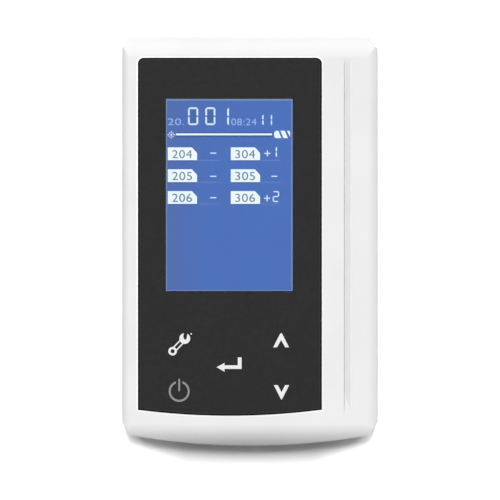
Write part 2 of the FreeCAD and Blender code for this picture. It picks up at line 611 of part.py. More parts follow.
def battery_door(outer):
    """The rear cover with its grip lines, which slides off past the upper end on two rails."""
    start = "bay_low_y + door_play"
    reach = "2 * (bay_inner_half - door_play)"
    slab = box("door_slab", around("bay_x", "2 * (bay_half - door_play)"), (start, "body_length"),
               ("0", "door_top_z"))
    lip = box("door_lip", around("bay_x", reach), ("inner_top + door_play", "body_length"),
              ("0", "rail_top_z"))
    trimmed = common("door_skin", outer, fuse("door_blank", slab, lip))
    first_y = "outer_top - grip_end_margin"
    grips = [box(f"door_grip_{index + 1}", around("bay_x", "grip_length"),
                 around(f"{first_y} - {index} * grip_pitch", "grip_width"),
                 ("0", "outer_rear_z + grip_depth")) for index in range(GRIP_LINES)]
    rails = []
    for side, sign in (("left", "-"), ("right", "+")):
        web = f"bay_x {sign} (bay_half - door_play - rail_web)"
        edge = f"bay_x {sign} (bay_half - door_play)"
        tip = f"bay_x {sign} (bay_inner_half - door_play)"
        ends = (start, "outer_top - wall / 2")
        flat, upright = ((web, tip), (web, edge)) if sign == "+" else ((tip, web), (edge, web))
        rails.append(box(f"door_rail_{side}", flat, ends, ("rail_z", "rail_top_z")))
        rails.append(box(f"door_web_{side}", upright, ends, ("door_top_z - wall / 2", "rail_top_z")))
    add("battery_door", cut("battery_door", fuse("door_solid", trimmed, *rails), *grips))


def feet():
    """Four rubber feet, sunk a little into the rear shell."""
    top = "foot_height + foot_sink"
    section = [("0", "0"), ("foot_radius - foot_bevel", "0"), ("foot_radius", "foot_bevel"),
               ("foot_radius", top), ("0", top)]
    pads = [turned(f"foot_{index}", section, x, y, "0") for index, (x, y) in enumerate(FEET, start=1)]
    add("rubber_feet", fuse("rubber_feet", *pads))


def screws(label, spots, shank, head, under_head, tip, cap, head_up):
    """A set of screws: heads beyond the seat height, shanks to the tip."""
    group = []
    for index, (x, y) in enumerate(spots, start=1):
        if head_up:
            body = rod(f"{label}_shank_{index}", shank, x, y, tip, f"({under_head}) - ({tip})")
            top = rod(f"{label}_head_{index}", head, x, y, under_head, cap)
        else:
            body = rod(f"{label}_shank_{index}", shank, x, y, under_head, f"({tip}) - ({under_head})")
            top = rod(f"{label}_head_{index}", head, x, y, f"({under_head}) - ({cap})", cap)
        group.append(fuse(f"{label}_{index}", body, top))
    add(label, fuse(label, *group))


# Front panel and display
def front_overlay():
    """The black panel film with its clear view cut out."""
    corners, bows = panel_outline("0")
    view = rectangle(around("view_x", "view_width"), around("view_y", "view_length"))
    add("front_overlay", plate("front_overlay", "panel_floor_z", "outer_face_z", corners, bows, [view]))


def display():
    """The display stack from the clear pane down to the board."""
    def pane(name, low, high, lap, hole_lap=None):
        """A sheet that reaches past the view by a lap, with a hole in a frame."""
        outline = rectangle(around("view_x", f"view_width + 2 * ({lap})"),
                            around("view_y", f"view_length + 2 * ({lap})"))
        holes = []
        if hole_lap:
            holes = [rectangle(around("view_x", f"view_width + 2 * ({hole_lap})"),
                               around("view_y", f"view_length + 2 * ({hole_lap})"))]
        return plate(name, low, high, outline, None, holes)

    add("display_window", pane("display_window", "inner_face_z", "panel_floor_z", "pane_lap"))
    add("window_gasket", pane("window_gasket", "bezel_top_z", "inner_face_z", "play + gasket_rim", "play"))
    add("display_glass", pane("display_glass", "light_top_z", "glass_top_z", "glass_lap"))
    add("display_light", pane("display_light", "board_top_z", "light_top_z", "glass_lap"))
    edge = "glass_lap + play + bezel_rim"
    rim = pane("bezel_rim_ring", "board_top_z", "glass_top_z", edge, "glass_lap + play")
    lip = pane("bezel_lip_ring", "glass_top_z", "bezel_top_z", edge, "2 * play")
    add("display_bezel", fuse("display_bezel", rim, lip))


def keys():
    """Five plungers under the panel, each on the button of its own switch."""
    section = [
        ("0", "button_top_z"), ("key_stem", "button_top_z"), ("key_stem", "key_flange_z"),
        ("key_flange", "key_flange_z"), ("key_flange", "key_flange_top_z"),
        ("key_radius", "key_flange_top_z"), ("key_radius", "key_top_z"), ("0", "key_top_z"),
    ]
    floor = "switch_top_z - switch_bore_depth"
    for name, x, y in KEYS:
        add(f"{name}_key", turned(f"{name}_key", section, x, y, "0"))
        block = box(f"{name}_switch_block", around(x, "switch_width"), around(y, "switch_width"),
                    ("board_top_z", "switch_top_z"))
        bore = rod(f"{name}_switch_bore", "switch_button + switch_play", x, y, floor,
                   "switch_bore_depth + overrun")
        add(f"{name}_switch", cut(f"{name}_switch", block, bore))
        add(f"{name}_switch_button",
            rod(f"{name}_switch_button", "switch_button", x, y, f"{floor} + switch_well",
                f"button_top_z - ({floor} + switch_well)"))


# Main board
def main_board():
    """The board with its screw holes and the notch that clears a case boss."""
    blank = box("board_blank", ("board_left_x", "board_right_x"), ("board_low_y", "board_high_y"),
                ("board_z", "board_top_z"))
    through = ("board_z - overrun", "board_top_z + overrun")
    holes = rods("board_hole", BOARD_SCREWS, "board_screw + screw_clearance", *through)
    holes += rods("board_notch", SHELL_BOSSES, "boss_radius + board_notch_play", *through)
    add("main_board", cut("main_board", blank, *holes))


def board_pieces():
    """What the board carries on its underside."""
    def hung(name, x, y, width, length, height):
        return box(name, around(x, width), around(y, length), (f"board_z - {height}", "board_z"))

    chips = [hung("processor_chip", "chip_x", "chip_y", "chip_width", "chip_width", "chip_height"),
             hung("memory_chip", "chip_x", "memory_y", "memory_width", "memory_width", "chip_height")]
    add("board_chips", fuse("board_chips", *chips))
    add("radio_module", hung("radio_module", "radio_x", "radio_y",
                             "radio_width", "radio_length", "radio_height"))
    low = "board_z - buzzer_height"
    add("buzzer", turned("buzzer", [
        ("buzzer_hole", low), ("buzzer_radius", low),
        ("buzzer_radius", "board_z"), ("buzzer_hole", "board_z"),
    ], "buzzer_x", "buzzer_y", "0"))
    sockets = [hung(f"socket_{index}", "socket_x", y, "socket_width", "socket_length", "socket_height")
               for index, y in enumerate(("optics_y", "motor_socket_y"), start=1)]
    sockets.append(box("optics_socket", ("guide_left + play", "guide_left + play + socket_width"),
                       around("optics_y", "socket_length"),
                       ("optics_board_top_z", "optics_board_top_z + socket_height")))
    add("ribbon_sockets", fuse("ribbon_sockets", *sockets))
    z = ("board_z - usb_height", "board_z")
    y = ("outer_top - usb_setback - usb_length", "outer_top - usb_setback")
    room = box("usb_room", around("usb_x", "usb_width - 2 * usb_skin"),
               (f"{y[0]} + usb_back", f"{y[1]} + overrun"), (f"{z[0]} + usb_skin", f"{z[1]} - usb_skin"))
    blade = box("usb_blade", around("usb_x", "usb_blade_width"),
                (f"{y[0]} + usb_back / 2", f"{y[1]} - usb_setback"),
                around("board_z - usb_height / 2", "usb_blade_height"))
    can = cut("usb_can", box("usb_block", around("usb_x", "usb_width"), y, z), room)
    add("charging_port", fuse("charging_port", can, blade))


# Strip tray and guide
def rack_gaps():
    """The spaces between the rack's straight-sided teeth, with one centred on the gear."""
    module, slope = number("rack_module"), math.tan(math.radians(number("pressure_angle")))
    pitch, slack = math.pi * module, number("backlash")
    left, high = number("tray_left"), number("overrun")
    addendum, dedendum = number("addendum_share") * module, number("dedendum_share") * module
    mouth = pitch / 4 + (addendum + high) * slope + slack
    root = pitch / 4 - dedendum * slope + slack
    gear_y, margin = number("gear_y"), number("rack_margin")
    behind = int((number("tray_back_y") - margin - gear_y) / pitch)
    ahead = int((gear_y - number("guide_front_y") - margin) / pitch)
    low_z, height = number("tray_z - overrun"), number("tray_plate + 2 * overrun")
    gaps = []
    for index in range(-ahead, behind + 1):
        y = gear_y + index * pitch
        corners = [(left - high, y - mouth), (left + addendum + dedendum, y - root),
                   (left + addendum + dedendum, y + root), (left - high, y + mouth)]
        wire = Part.makePolygon([Vector(*corner, low_z) for corner in corners + corners[:1]])
        gaps.append(Part.Face(wire).extrude(Vector(0, 0, height)))
    piece = doc.addObject("Part::Feature", "rack_gaps")
    piece.Shape = Part.makeCompound(gaps)
    return piece


def strip_tray(inner):
    """The tray with its rack edge, raised bed, strip channel, tile pocket and home flag."""
    length = ("-body_length", "tray_back_y")
    base = box("tray_plate_block", ("tray_left", "tray_right"), length, ("tray_z", "plate_top_z"))
    bed = box("tray_bed", around("tray_x", "bed_width"), length,
              ("plate_top_z - tray_plate / 2", "bed_top_z"))
    flag = box("tray_flag", around("tray_x", "flag_width"),
               ("tray_back_y - overrun", "tray_back_y + flag_length"),
               ("tray_z + tray_plate / 2", "bed_top_z"))
    blank = common("tray_blank", fuse("tray_solid", base, bed, flag), inner)
    channel = box("strip_channel", around("tray_x", "channel_width"), ("-body_length", "channel_back_y"),
                  ("channel_z", "bed_top_z + overrun"))
    tile = (around("tray_x", "channel_width"), around("tile_y", "tile_length"))
    pocket = box("tile_pocket", *tile, ("channel_z - tile_thickness", "channel_z + overrun"))
    add("strip_tray", cut("strip_tray", blank, channel, pocket, rack_gaps()))
    add("reference_tile", box("reference_tile", *tile, ("channel_z - tile_thickness", "channel_z")))


def tray_front(outer, inner):
    """The drawer front that closes the mouth and follows the bowed end of the case."""
    blank = box("front_blank_box", around("tray_x", "front_width"),
                ("-body_length", "guide_front_y - overrun - mouth_play"),
                ("mouth_z + mouth_play", "parting_z"))
    add("tray_front", cut("tray_front", common("tray_front_skin", outer, blank), inner))


def tray_guide():
    """The channel the tray runs in: floor, walls and lips, open beside the gears."""
    length = ("guide_front_y", "guide_wall_back_y")
    tall = ("inner_rear_z", "guide_top_z")
    lip = ("guide_lip_z", "guide_lip_z + guide_lip_height")
    floor = box("guide_floor_block", ("guide_left", "guide_right"), ("guide_front_y", "guide_back_y"),
                ("inner_rear_z", "guide_floor_z"))
    pieces = [
        floor,
        box("guide_wall_left", ("guide_left", "guide_left + guide_wall"), length, tall),
        box("guide_wall_right", ("guide_right - guide_wall", "guide_right"), length, tall),
        box("guide_lip_left", ("guide_left", "guide_left + guide_wall + guide_lip"), length, lip),
        box("guide_lip_right", ("guide_right - guide_wall - guide_lip", "guide_right"), length, lip),
    ]
    window = box("gear_window", ("guide_left - overrun", "guide_left + guide_wall + guide_lip + overrun"),
                 around("gear_y", "2 * gear_window_half"), ("guide_floor_z", "guide_top_z + overrun"))
    holes = rods("guide_hole", GUIDE_SCREWS, "board_screw + screw_clearance",
                 "inner_rear_z - overrun", "guide_floor_z + overrun")
    add("tray_guide", cut("tray_guide", fuse("guide_solid", *pieces), window, *holes))
    screws("guide_screws", GUIDE_SCREWS, "board_screw", "board_screw_head", "guide_floor_z",
           "inner_rear_z - guide_screw_bite", "board_screw_cap", True)


def home_sensor():
    """The light gate that the tray's flag closes at the end of its way in."""
    y = ("tray_back_y + overrun", "tray_back_y + overrun + home_length")
    block = box("gate_block", around("tray_x", "home_width"), y,
                ("guide_floor_z", "guide_floor_z + home_height"))
    slot = box("gate_slot", around("tray_x", "home_slot"), (f"{y[0]} - overrun", f"{y[1]} + overrun"),
               ("guide_floor_z + home_base", "guide_floor_z + home_height + overrun"))
    add("home_sensor", cut("home_sensor", block, slot))


# Drive
def involute_gear(module, teeth, turn, low, high):
    """An upright toothed wheel about the Z axis, its flanks drawn from the involute."""
    pressure = math.radians(number("pressure_angle"))
    pitch = module * teeth / 2
    base = pitch * math.cos(pressure)
    tip = pitch + number("addendum_share") * module
    root = pitch - number("dedendum_share") * module

    def spread(angle):
        return math.tan(angle) - angle

    half_tooth = math.pi / (2 * teeth) - number("backlash") / pitch + spread(pressure)
    start = max(base, root)
    steps = 4
    flank = []
    for step in range(steps + 1):
        radius = start + (tip - start) * step / steps
        flank.append((radius, half_tooth - spread(math.acos(base / radius))))
    if root < base:
        flank.insert(0, (root, flank[0][1]))
    outline = []
    for tooth in range(teeth):
        middle = turn + 2 * math.pi * tooth / teeth
        outline += [(radius, middle - half) for radius, half in flank]
        outline += [(radius, middle + half) for radius, half in reversed(flank)]
    points = [Vector(radius * math.cos(angle), radius * math.sin(angle), low) for radius, angle in outline]
    wire = Part.makePolygon(points + points[:1])
    return Part.Face(wire).extrude(Vector(0, 0, high - low))


def gears():
    """The two-step gear on its shaft, and the motor's pinion, in mesh at rest."""
    module = number("wheel_module")
    gear_z, hub_z, wheel_z, top_z = (number(name) for name in ("gear_z", "hub_z", "wheel_z", "wheel_top_z"))
    pinion = involute_gear(number("rack_module"), int(number("pinion_teeth")), 0, gear_z, hub_z)
    wheel = involute_gear(module, int(number("wheel_teeth")), 0, wheel_z, top_z)
    hub = Part.makeCylinder(number("gear_hub"), wheel_z - hub_z, Vector(0, 0, hub_z))
    bore = Part.makeCylinder(number("gear_shaft + shaft_play"), top_z - gear_z, Vector(0, 0, gear_z))
    gear = doc.addObject("Part::Feature", "reduction_gear")
    gear.Shape = pinion.fuse([hub, wheel]).cut(bore).removeSplitter()
    gear.Placement = FreeCAD.Placement(Vector(number("gear_x"), number("gear_y"), 0), Rotation())
    add("reduction_gear", gear)
    teeth = int(number("motor_teeth"))
    small = involute_gear(module, teeth, math.pi / teeth, wheel_z, top_z)
    hole = Part.makeCylinder(number("motor_shaft"), top_z - wheel_z, Vector(0, 0, wheel_z))
    driver = doc.addObject("Part::Feature", "motor_pinion")
    driver.Shape = small.cut(hole)
    driver.Placement = FreeCAD.Placement(Vector(number("motor_x"), number("gear_y"), 0), Rotation())
    add("motor_pinion", driver)
    shaft_low = "wheel_z - play"
    add("motor_shaft", rod("motor_shaft_rod", "motor_shaft", "motor_x", "gear_y", shaft_low,
                           f"motor_z + motor_shaft_in - ({shaft_low})"))
    pin_low = "inner_rear_z - guide_screw_bite"
    add("gear_shaft", rod("gear_shaft_rod", "gear_shaft", "gear_x", "gear_y", pin_low,
                          f"motor_z - ({pin_low})"))


def drive_motor():
    """The stepper can with its ears and collar, upside down on the bracket."""
    can = rod("motor_can", "motor_radius", "motor_x", "gear_y", "motor_z", "motor_height")
    ears = box("motor_ears", around("motor_x", "motor_ear_width"), around("gear_y", "2 * motor_ear_reach"),
               ("motor_z", "motor_z + motor_ear_height"))
    collar = rod("motor_collar_ring", "motor_collar", "motor_x", "gear_y", "guide_top_z", "bracket_thickness")
    bore = rod("motor_bore", "motor_shaft + shaft_play", "motor_x", "gear_y", "guide_top_z - overrun",
               "motor_z + motor_shaft_in + play - (guide_top_z - overrun)")
    holes = rods("ear_hole", MOTOR_SCREWS, "board_screw + screw_clearance",
                 "motor_z - overrun", "motor_z + motor_ear_height + overrun")
    add("drive_motor", cut("drive_motor", fuse("motor_solid", can, ears, collar), bore, *holes))
    screws("motor_screws", MOTOR_SCREWS, "board_screw", "board_screw_head", "motor_z + motor_ear_height",
           "guide_top_z", "board_screw_cap", True)


def motor_bracket():
    """The plate over the gears that carries the motor and steadies the gear shaft."""
    blank = box("bracket_plate", ("bracket_left_x", "guide_left + guide_wall"),
                ("bracket_low_y", "bracket_high_y"), ("guide_top_z", "motor_z"))
    through = ("guide_top_z - overrun", "motor_z + overrun")
    holes = rods("bracket_hole", POSTS, "board_screw + screw_clearance", *through)
    holes += rods("bracket_thread", MOTOR_SCREWS, "board_screw + fit_play", *through)
    holes += rods("collar_hole", [("motor_x", "gear_y")], "motor_collar + play", *through)
    holes += rods("pin_hole", [("gear_x", "gear_y")], "gear_shaft + fit_play", *through)
    add("motor_bracket", cut("motor_bracket", blank, *holes))
    screws("bracket_screws", POSTS, "board_screw", "board_screw_head", "motor_z",
           "motor_z - board_screw_length", "board_screw_cap", True)


# Optical head
def optics():
    """The head over the tray: housing, lens, lamps, sensor, board, socket and ribbon."""
    y = ("optics_low_y", "optics_high_y")
    block = box("optics_block", ("guide_left", "guide_right"), y, ("guide_top_z", "optics_top_z"))
    room = box("optics_room", ("guide_left + optics_wall", "guide_right - optics_wall"),
               ("optics_low_y + optics_wall", "optics_high_y - optics_wall"),
               ("guide_top_z + optics_floor", "optics_top_z + overrun"))
    middle = [("tray_x", "optics_y")]
    lens_z = "guide_top_z + optics_floor"
    aperture = rods("aperture", middle, "aperture_radius", "guide_top_z - overrun", f"{lens_z} + overrun")
    add("optics_housing", cut("optics_housing", block, room, *aperture))
    lens_top_z = f"{lens_z} + lens_thickness"
    add("optics_lens", turned("optics_lens", [
        ("0", lens_z), ("lens_radius", lens_z), ("lens_radius", f"{lens_z} + lens_thickness / 2"),
        ("lens_radius - lens_thickness / 2", lens_top_z), ("0", lens_top_z),
    ], "tray_x", "optics_y", "0"))
    add("optics_board", box("optics_board", ("guide_left", "guide_right"), y,
                            ("optics_top_z", "optics_board_top_z")))
    add("colour_sensor", box("colour_sensor", around("tray_x", "sensor_width"),
                             around("optics_y", "sensor_width"),
                             ("optics_top_z - sensor_height", "optics_top_z")))
    spots = [("tray_x", "optics_y - lamp_offset"), ("tray_x", "optics_y + lamp_offset")]
    lamps = rods("lamp", spots, "lamp_radius", "optics_top_z - lamp_height", "optics_top_z")
    add("lamps", fuse("lamps", *lamps))
    low = "board_z - socket_height / 2"
    start, end = "socket_x + socket_width / 2", "guide_left + play"
    near, far = f"{start} + ({end} - ({start})) / 3", f"{end} - ({end} - ({start})) / 3"
    high = "optics_board_top_z + socket_height / 2"
    add("optics_ribbon", prism("optics_ribbon", "front", [
        (start, low), (near, low), (far, high), (end, high), (end, f"{high} + ribbon_thickness"),
        (far, f"{high} + ribbon_thickness"), (near, f"{low} + ribbon_thickness"),
        (start, f"{low} + ribbon_thickness"),
    ], "optics_y - ribbon_width / 2", "optics_y + ribbon_width / 2"))


# Batteries
def batteries():
    """Four cells side by side, turned about in turn, with a plate and a leaf for each."""
    plates, leaf_rooms = [], {"low": [], "high": []}
    z = around("cell_z", "contact_height")
    low, high = "bay_low_y + contact_thickness", "bay_high_y - contact_thickness"
    for index in range(CELLS):
        x = f"bay_x + ({index - (CELLS - 1) / 2}) * cell_pitch"
        upward = index % 2 == 0
        nub = f"{high} - cell_nub" if upward else low
        can = f"{nub} - cell_length" if upward else f"{nub} + cell_nub"
        tube = rod(f"cell_can_{index + 1}", "cell_radius", x, can, "cell_z", "cell_length", "y")
        cap = rod(f"cell_nub_{index + 1}", "cell_nub_radius", x, nub, "cell_z", "cell_nub", "y")
        add(f"battery_cell_{index + 1}", fuse(f"battery_cell_{index + 1}", tube, cap))
        plate_y = (high, "bay_high_y") if upward else ("bay_low_y", low)
        plates.append(box(f"contact_plate_{index + 1}", around(x, "contact_width"), plate_y, z))
        end = "low" if upward else "high"
        leaf_rooms[end].append(box(f"leaf_room_{index + 1}", around(x, "contact_width"), LONG, z))
    add("contact_plates", fuse("contact_plates", *plates))
    leaves = []
    for end, wall_y, sign in (("low", "bay_low_y", "+"), ("high", "bay_high_y", "-")):
        wide = around("bay_x", "2 * bay_half")
        nose = f"{wall_y} {sign} (contact_thickness + leaf_reach)"
        hollow = f"{wall_y} {sign} (leaf_reach - contact_thickness)"
        skin = f"{wall_y} {sign} contact_thickness"
        foot, top = z
        outside = [(wall_y, foot), (nose, "cell_z - contact_thickness"),
                   (nose, "cell_z + contact_thickness"), (wall_y, top)]
        inside = [(skin, f"{foot} + 3 * contact_thickness"), (hollow, "cell_z"),
                  (skin, f"{top} - 3 * contact_thickness")]
        if sign == "-":
            outside.reverse()
            inside.reverse()
        wedge = cut(f"leaf_{end}", prism(f"leaf_outer_{end}", "side", outside, *wide),
                    prism(f"leaf_inner_{end}", "side", inside, *wide))
        leaves.append(common(f"leaf_pair_{end}", wedge, fuse(f"leaf_rooms_{end}", *leaf_rooms[end])))
    add("contact_leaves", fuse("contact_leaves", *leaves))


outer_block, inner_block = case_block("outer"), case_block("inner")
front_shell(outer_block, inner_block)
rear_shell(outer_block, inner_block)
battery_door(outer_block)
feet()
screws("shell_screws", SHELL_BOSSES, "shell_screw", "shell_screw_head", "screw_seat_z",
       "screw_seat_z + shell_screw_length", "shell_screw_cap", False)
screws("board_screws", BOARD_SCREWS, "board_screw", "board_screw_head", "board_z",
       "board_z + board_screw_length", "board_screw_cap", False)
front_overlay()
display()
keys()
main_board()
board_pieces()
strip_tray(inner_block)
tray_front(outer_block, inner_block)
tray_guide()
home_sensor()
gears()
drive_motor()
motor_bracket()
optics()
batteries()
doc.recompute()

# Every object has to be sound before any file is written
for piece in doc.Objects:
    if {"Invalid", "Error"} & set(piece.State):
        raise RuntimeError(f"{piece.Name} did not build: {piece.State}")
for piece in NODES:
    if piece.Shape.isNull() or not piece.Shape.isValid() or not piece.Shape.Solids:
        raise RuntimeError(f"{piece.Label} is not a sound solid")
os.makedirs("parts", exist_ok=True)
for piece in NODES:
    piece.Shape.exportStep(f"parts/{piece.Label}.step")
    print(piece.Label, len(piece.Shape.Solids), round(piece.Shape.Volume, 1))
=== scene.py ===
import json
import math
import bmesh
import bpy
from mathutils import Matrix, Vector


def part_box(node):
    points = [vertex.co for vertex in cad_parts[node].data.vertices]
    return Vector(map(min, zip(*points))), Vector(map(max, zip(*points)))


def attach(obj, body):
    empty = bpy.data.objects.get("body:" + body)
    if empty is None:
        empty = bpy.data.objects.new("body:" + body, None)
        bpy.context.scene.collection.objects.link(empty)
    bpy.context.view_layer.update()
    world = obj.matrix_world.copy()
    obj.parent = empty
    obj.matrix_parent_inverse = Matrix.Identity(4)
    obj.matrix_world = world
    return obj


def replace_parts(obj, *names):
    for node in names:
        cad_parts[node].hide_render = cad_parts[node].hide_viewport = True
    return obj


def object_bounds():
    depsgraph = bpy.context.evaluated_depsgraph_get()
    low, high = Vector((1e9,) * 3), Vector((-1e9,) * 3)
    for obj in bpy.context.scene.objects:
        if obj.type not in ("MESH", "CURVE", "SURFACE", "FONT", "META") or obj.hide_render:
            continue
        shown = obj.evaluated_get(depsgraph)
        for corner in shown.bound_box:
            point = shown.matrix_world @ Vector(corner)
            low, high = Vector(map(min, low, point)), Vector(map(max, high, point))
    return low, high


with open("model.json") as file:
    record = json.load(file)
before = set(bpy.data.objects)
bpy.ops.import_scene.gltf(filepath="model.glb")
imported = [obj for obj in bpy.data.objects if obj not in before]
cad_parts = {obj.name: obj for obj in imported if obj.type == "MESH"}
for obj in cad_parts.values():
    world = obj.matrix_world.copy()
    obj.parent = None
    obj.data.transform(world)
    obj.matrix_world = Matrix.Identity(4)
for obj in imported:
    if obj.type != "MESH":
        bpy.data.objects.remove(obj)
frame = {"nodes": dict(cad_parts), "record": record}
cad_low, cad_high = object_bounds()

MM = 0.001
NODES = frame["nodes"]

# Photograph: its frame in pixels, the size of a pixel on the face, and the row of pixels over the origin
FRAME_PIXELS = 500
PIXEL = 0.391 * MM
ORIGIN_ROW = 241.25

# Camera: a long lens in millimetres, so far above the face that the photograph's frame fills its view
FACE_Z = cad_high.z
LENS = 800.0
SENSOR = 36.0
VIEW_WIDTH = FRAME_PIXELS * PIXEL
CAMERA_DISTANCE = VIEW_WIDTH * LENS / SENSOR
CAMERA_Y = (ORIGIN_ROW - FRAME_PIXELS / 2) * PIXEL
CLIP_NEAR, CLIP_FAR = 0.05, 30.0

# Panel: its box, its middle, the radius of its bowed lower edge, and its upper corners
PANEL_LOW, PANEL_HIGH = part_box("front_overlay")
PANEL_X = (PANEL_LOW.x + PANEL_HIGH.x) / 2
PANEL_BOW = 278 * MM
PANEL_CORNER = 1.8 * MM

# Groove: its left side, its steep wall there, and the four places along it where its floor bends
GROOVE_X = 36.7 * MM
GROOVE_WIDTH = 3.2 * MM
GROOVE_WALL = 0.4 * MM
GROOVE_DEPTH = 1.1 * MM
GROOVE_ENDS = (-68 * MM, -60 * MM, 66 * MM, 72 * MM)


def at(pixel, height):
    """The place that the camera sees at a pixel of the photograph, at a height."""
    spread = 1 + (FACE_Z - height) / CAMERA_DISTANCE
    x = (pixel[0] - FRAME_PIXELS / 2) * PIXEL * spread
    y = (FRAME_PIXELS / 2 - pixel[1]) * PIXEL * spread + CAMERA_Y
    return x, y


# Materials: the range that most of a noise lies in, the least roughness, white, and black
NOISE_MIDDLE = (0.3, 0.7)
LEAST_ROUGHNESS = 0.02
WHITE = (1.0, 1.0, 1.0, 1.0)
BLACK = (0.0, 0.0, 0.0, 1.0)


def linear(*channels):
    """A colour written as the screen shows it, 0 to 255, in the light's own units."""
    shares = [value / 255 for value in channels]
    return tuple(share / 12.92 if share <= 0.04045 else ((share + 0.055) / 1.055) ** 2.4
                 for share in shares) + (1.0,)


def shade(colour, share):
    """A colour made darker or lighter by a share."""
    return tuple(min(channel * share, 1.0) for channel in colour[:3]) + (1.0,)


class Tree:
    """The nodes of a material or of the surround, and what is worked out with them."""

    def __init__(self, owner):
        owner.use_nodes = True
        self.nodes = owner.node_tree.nodes
        self.links = owner.node_tree.links
        self.nodes.clear()

    def feed(self, socket, value):
        """Give a socket a value of its own, or link another node's output to it."""
        if isinstance(value, bpy.types.NodeSocket):
            self.links.new(value, socket)
        else:
            socket.default_value = value

    def coordinates(self):
        """The place in the piece's own axes, in metres."""
        return self.nodes.new("ShaderNodeTexCoord").outputs["Object"]

    def split(self, place):
        """A place's X, Y and Z."""
        node = self.nodes.new("ShaderNodeSeparateXYZ")
        self.links.new(place, node.inputs["Vector"])
        return node.outputs

    def maths(self, operation, *values):
        """One sum, each term a number or another node's output."""
        node = self.nodes.new("ShaderNodeMath")
        node.operation = operation
        for socket, value in zip(node.inputs, values):
            self.feed(socket, value)
        return node.outputs["Value"]

    def ramp(self, value, start, end, first=0.0, last=1.0):
        """A level that runs from the first to the last while a value runs from a start to an end."""
        node = self.nodes.new("ShaderNodeMapRange")
        for name, level in (("From Min", start), ("From Max", end), ("To Min", first), ("To Max", last)):
            node.inputs[name].default_value = level
        self.links.new(value, node.inputs["Value"])
        return node.outputs["Result"]

    def blend(self, factor, first, second):
        """A colour between two, each of which is a value or another node's output."""
        node = self.nodes.new("ShaderNodeMix")
        node.data_type = "RGBA"
        for name, value in (("Factor", factor), ("A", first), ("B", second)):
            self.feed(node.inputs[name], value)
        return node.outputs["Result"]

    def seen_directly(self):
        """1 for what the camera sees, also by way of gloss or glass, and 0 for soft light."""
        path = self.nodes.new("ShaderNodeLightPath")
        result = path.outputs["Is Camera Ray"]
        for name in ("Is Glossy Ray", "Is Transmission Ray"):
            result = self.maths("MAXIMUM", result, path.outputs[name])
        return result


class Look(Tree):
    """A node material with a surface whose colour, gloss and relief vary at real scales."""

    def __init__(self, name, colour, roughness, metallic=0.0, specular=0.5):
        self.material = bpy.data.materials.new(name)
        super().__init__(self.material)
        output = self.nodes.new("ShaderNodeOutputMaterial")
        self.surface = self.nodes.new("ShaderNodeBsdfPrincipled")
        self.links.new(self.surface.outputs["BSDF"], output.inputs["Surface"])
        for socket, value in (("Base Color", colour), ("Roughness", roughness),
                              ("Metallic", metallic), ("Specular IOR Level", specular)):
            self.surface.inputs[socket].default_value = value
        self.place = self.coordinates()
        self.colour = colour
        self.roughness = roughness

    def noise(self, size, detail=2.0, stretch=None):
        """Cloudy noise whose patches are a size across, in metres."""
        place = self.place
        if stretch:
            mapping = self.nodes.new("ShaderNodeMapping")
            mapping.inputs["Scale"].default_value = stretch
            self.links.new(place, mapping.inputs["Vector"])
            place = mapping.outputs["Vector"]
        noise = self.nodes.new("ShaderNodeTexNoise")
        noise.inputs["Scale"].default_value = 1 / size
        noise.inputs["Detail"].default_value = detail
        self.links.new(place, noise.inputs["Vector"])
        return noise.outputs["Fac"]

    def spread(self, noise, low, high):
        """A noise's middle range drawn out between two values."""
        return self.ramp(noise, *NOISE_MIDDLE, low, high)

    def drift(self, noise, colour, other, most=1.0):
        """A colour that drifts towards another, up to the most, where the noise is high."""
        return self.blend(self.spread(noise, 0.0, most), colour, other)

    def paint(self, colour, socket="Base Color"):
        """The surface takes a colour from another node's output."""
        self.links.new(colour, self.surface.inputs[socket])

    def tint(self, noise, other):
        """The surface's colour drifts towards another where the noise is high."""
        self.paint(self.drift(noise, self.colour, other))

    def gloss(self, noise, reach):
        """The roughness varies by a reach about its own value."""
        low, high = max(self.roughness - reach, LEAST_ROUGHNESS), self.roughness + reach
        self.links.new(self.spread(noise, low, high), self.surface.inputs["Roughness"])

    def relief(self, factor, depth):
        """The surface rises and falls by a depth in metres."""
        bump = self.nodes.new("ShaderNodeBump")
        bump.inputs["Distance"].default_value = depth
        bump.inputs["Strength"].default_value = 1.0
        self.links.new(factor, bump.inputs["Height"])
        self.links.new(bump.outputs["Normal"], self.surface.inputs["Normal"])


# Plastic: patches of tone and of gloss, a spark-eroded grain, and what is finer on some pieces
PLASTIC_TONE, PLASTIC_GLOSS = 22 * MM, 1.2 * MM
PLASTIC_GRAIN, PLASTIC_DEPTH = 0.35 * MM, 0.006 * MM
CHIP_GRAIN, TILE_GRAIN, LIP_DEPTH = 0.2 * MM, 0.15 * MM, 0.002 * MM
PLASTIC_SHARE = 0.965
PLASTIC_REACH = 0.06


def moulded(name, colour, roughness=0.45, grain=PLASTIC_GRAIN, depth=PLASTIC_DEPTH, specular=0.5):
    """Injection-moulded plastic with a spark-eroded grain."""
    look = Look(name, colour, roughness, specular=specular)
    look.tint(look.noise(PLASTIC_TONE, detail=3), shade(colour, PLASTIC_SHARE))
    look.gloss(look.noise(PLASTIC_GLOSS), PLASTIC_REACH)
    look.relief(look.noise(grain, detail=3), depth)
    return look.material


# The painted highlight on the case round the panel: its gap at the left, where it fades, and its depth
HIGHLIGHT_GAP = 0.6 * MM
HIGHLIGHT_FADE = (0.4 * MM, 0.65 * MM)
HIGHLIGHT_DEPTH = 0.1 * MM
PAINTED_HIGHLIGHT_WHITE = linear(253, 253, 253)


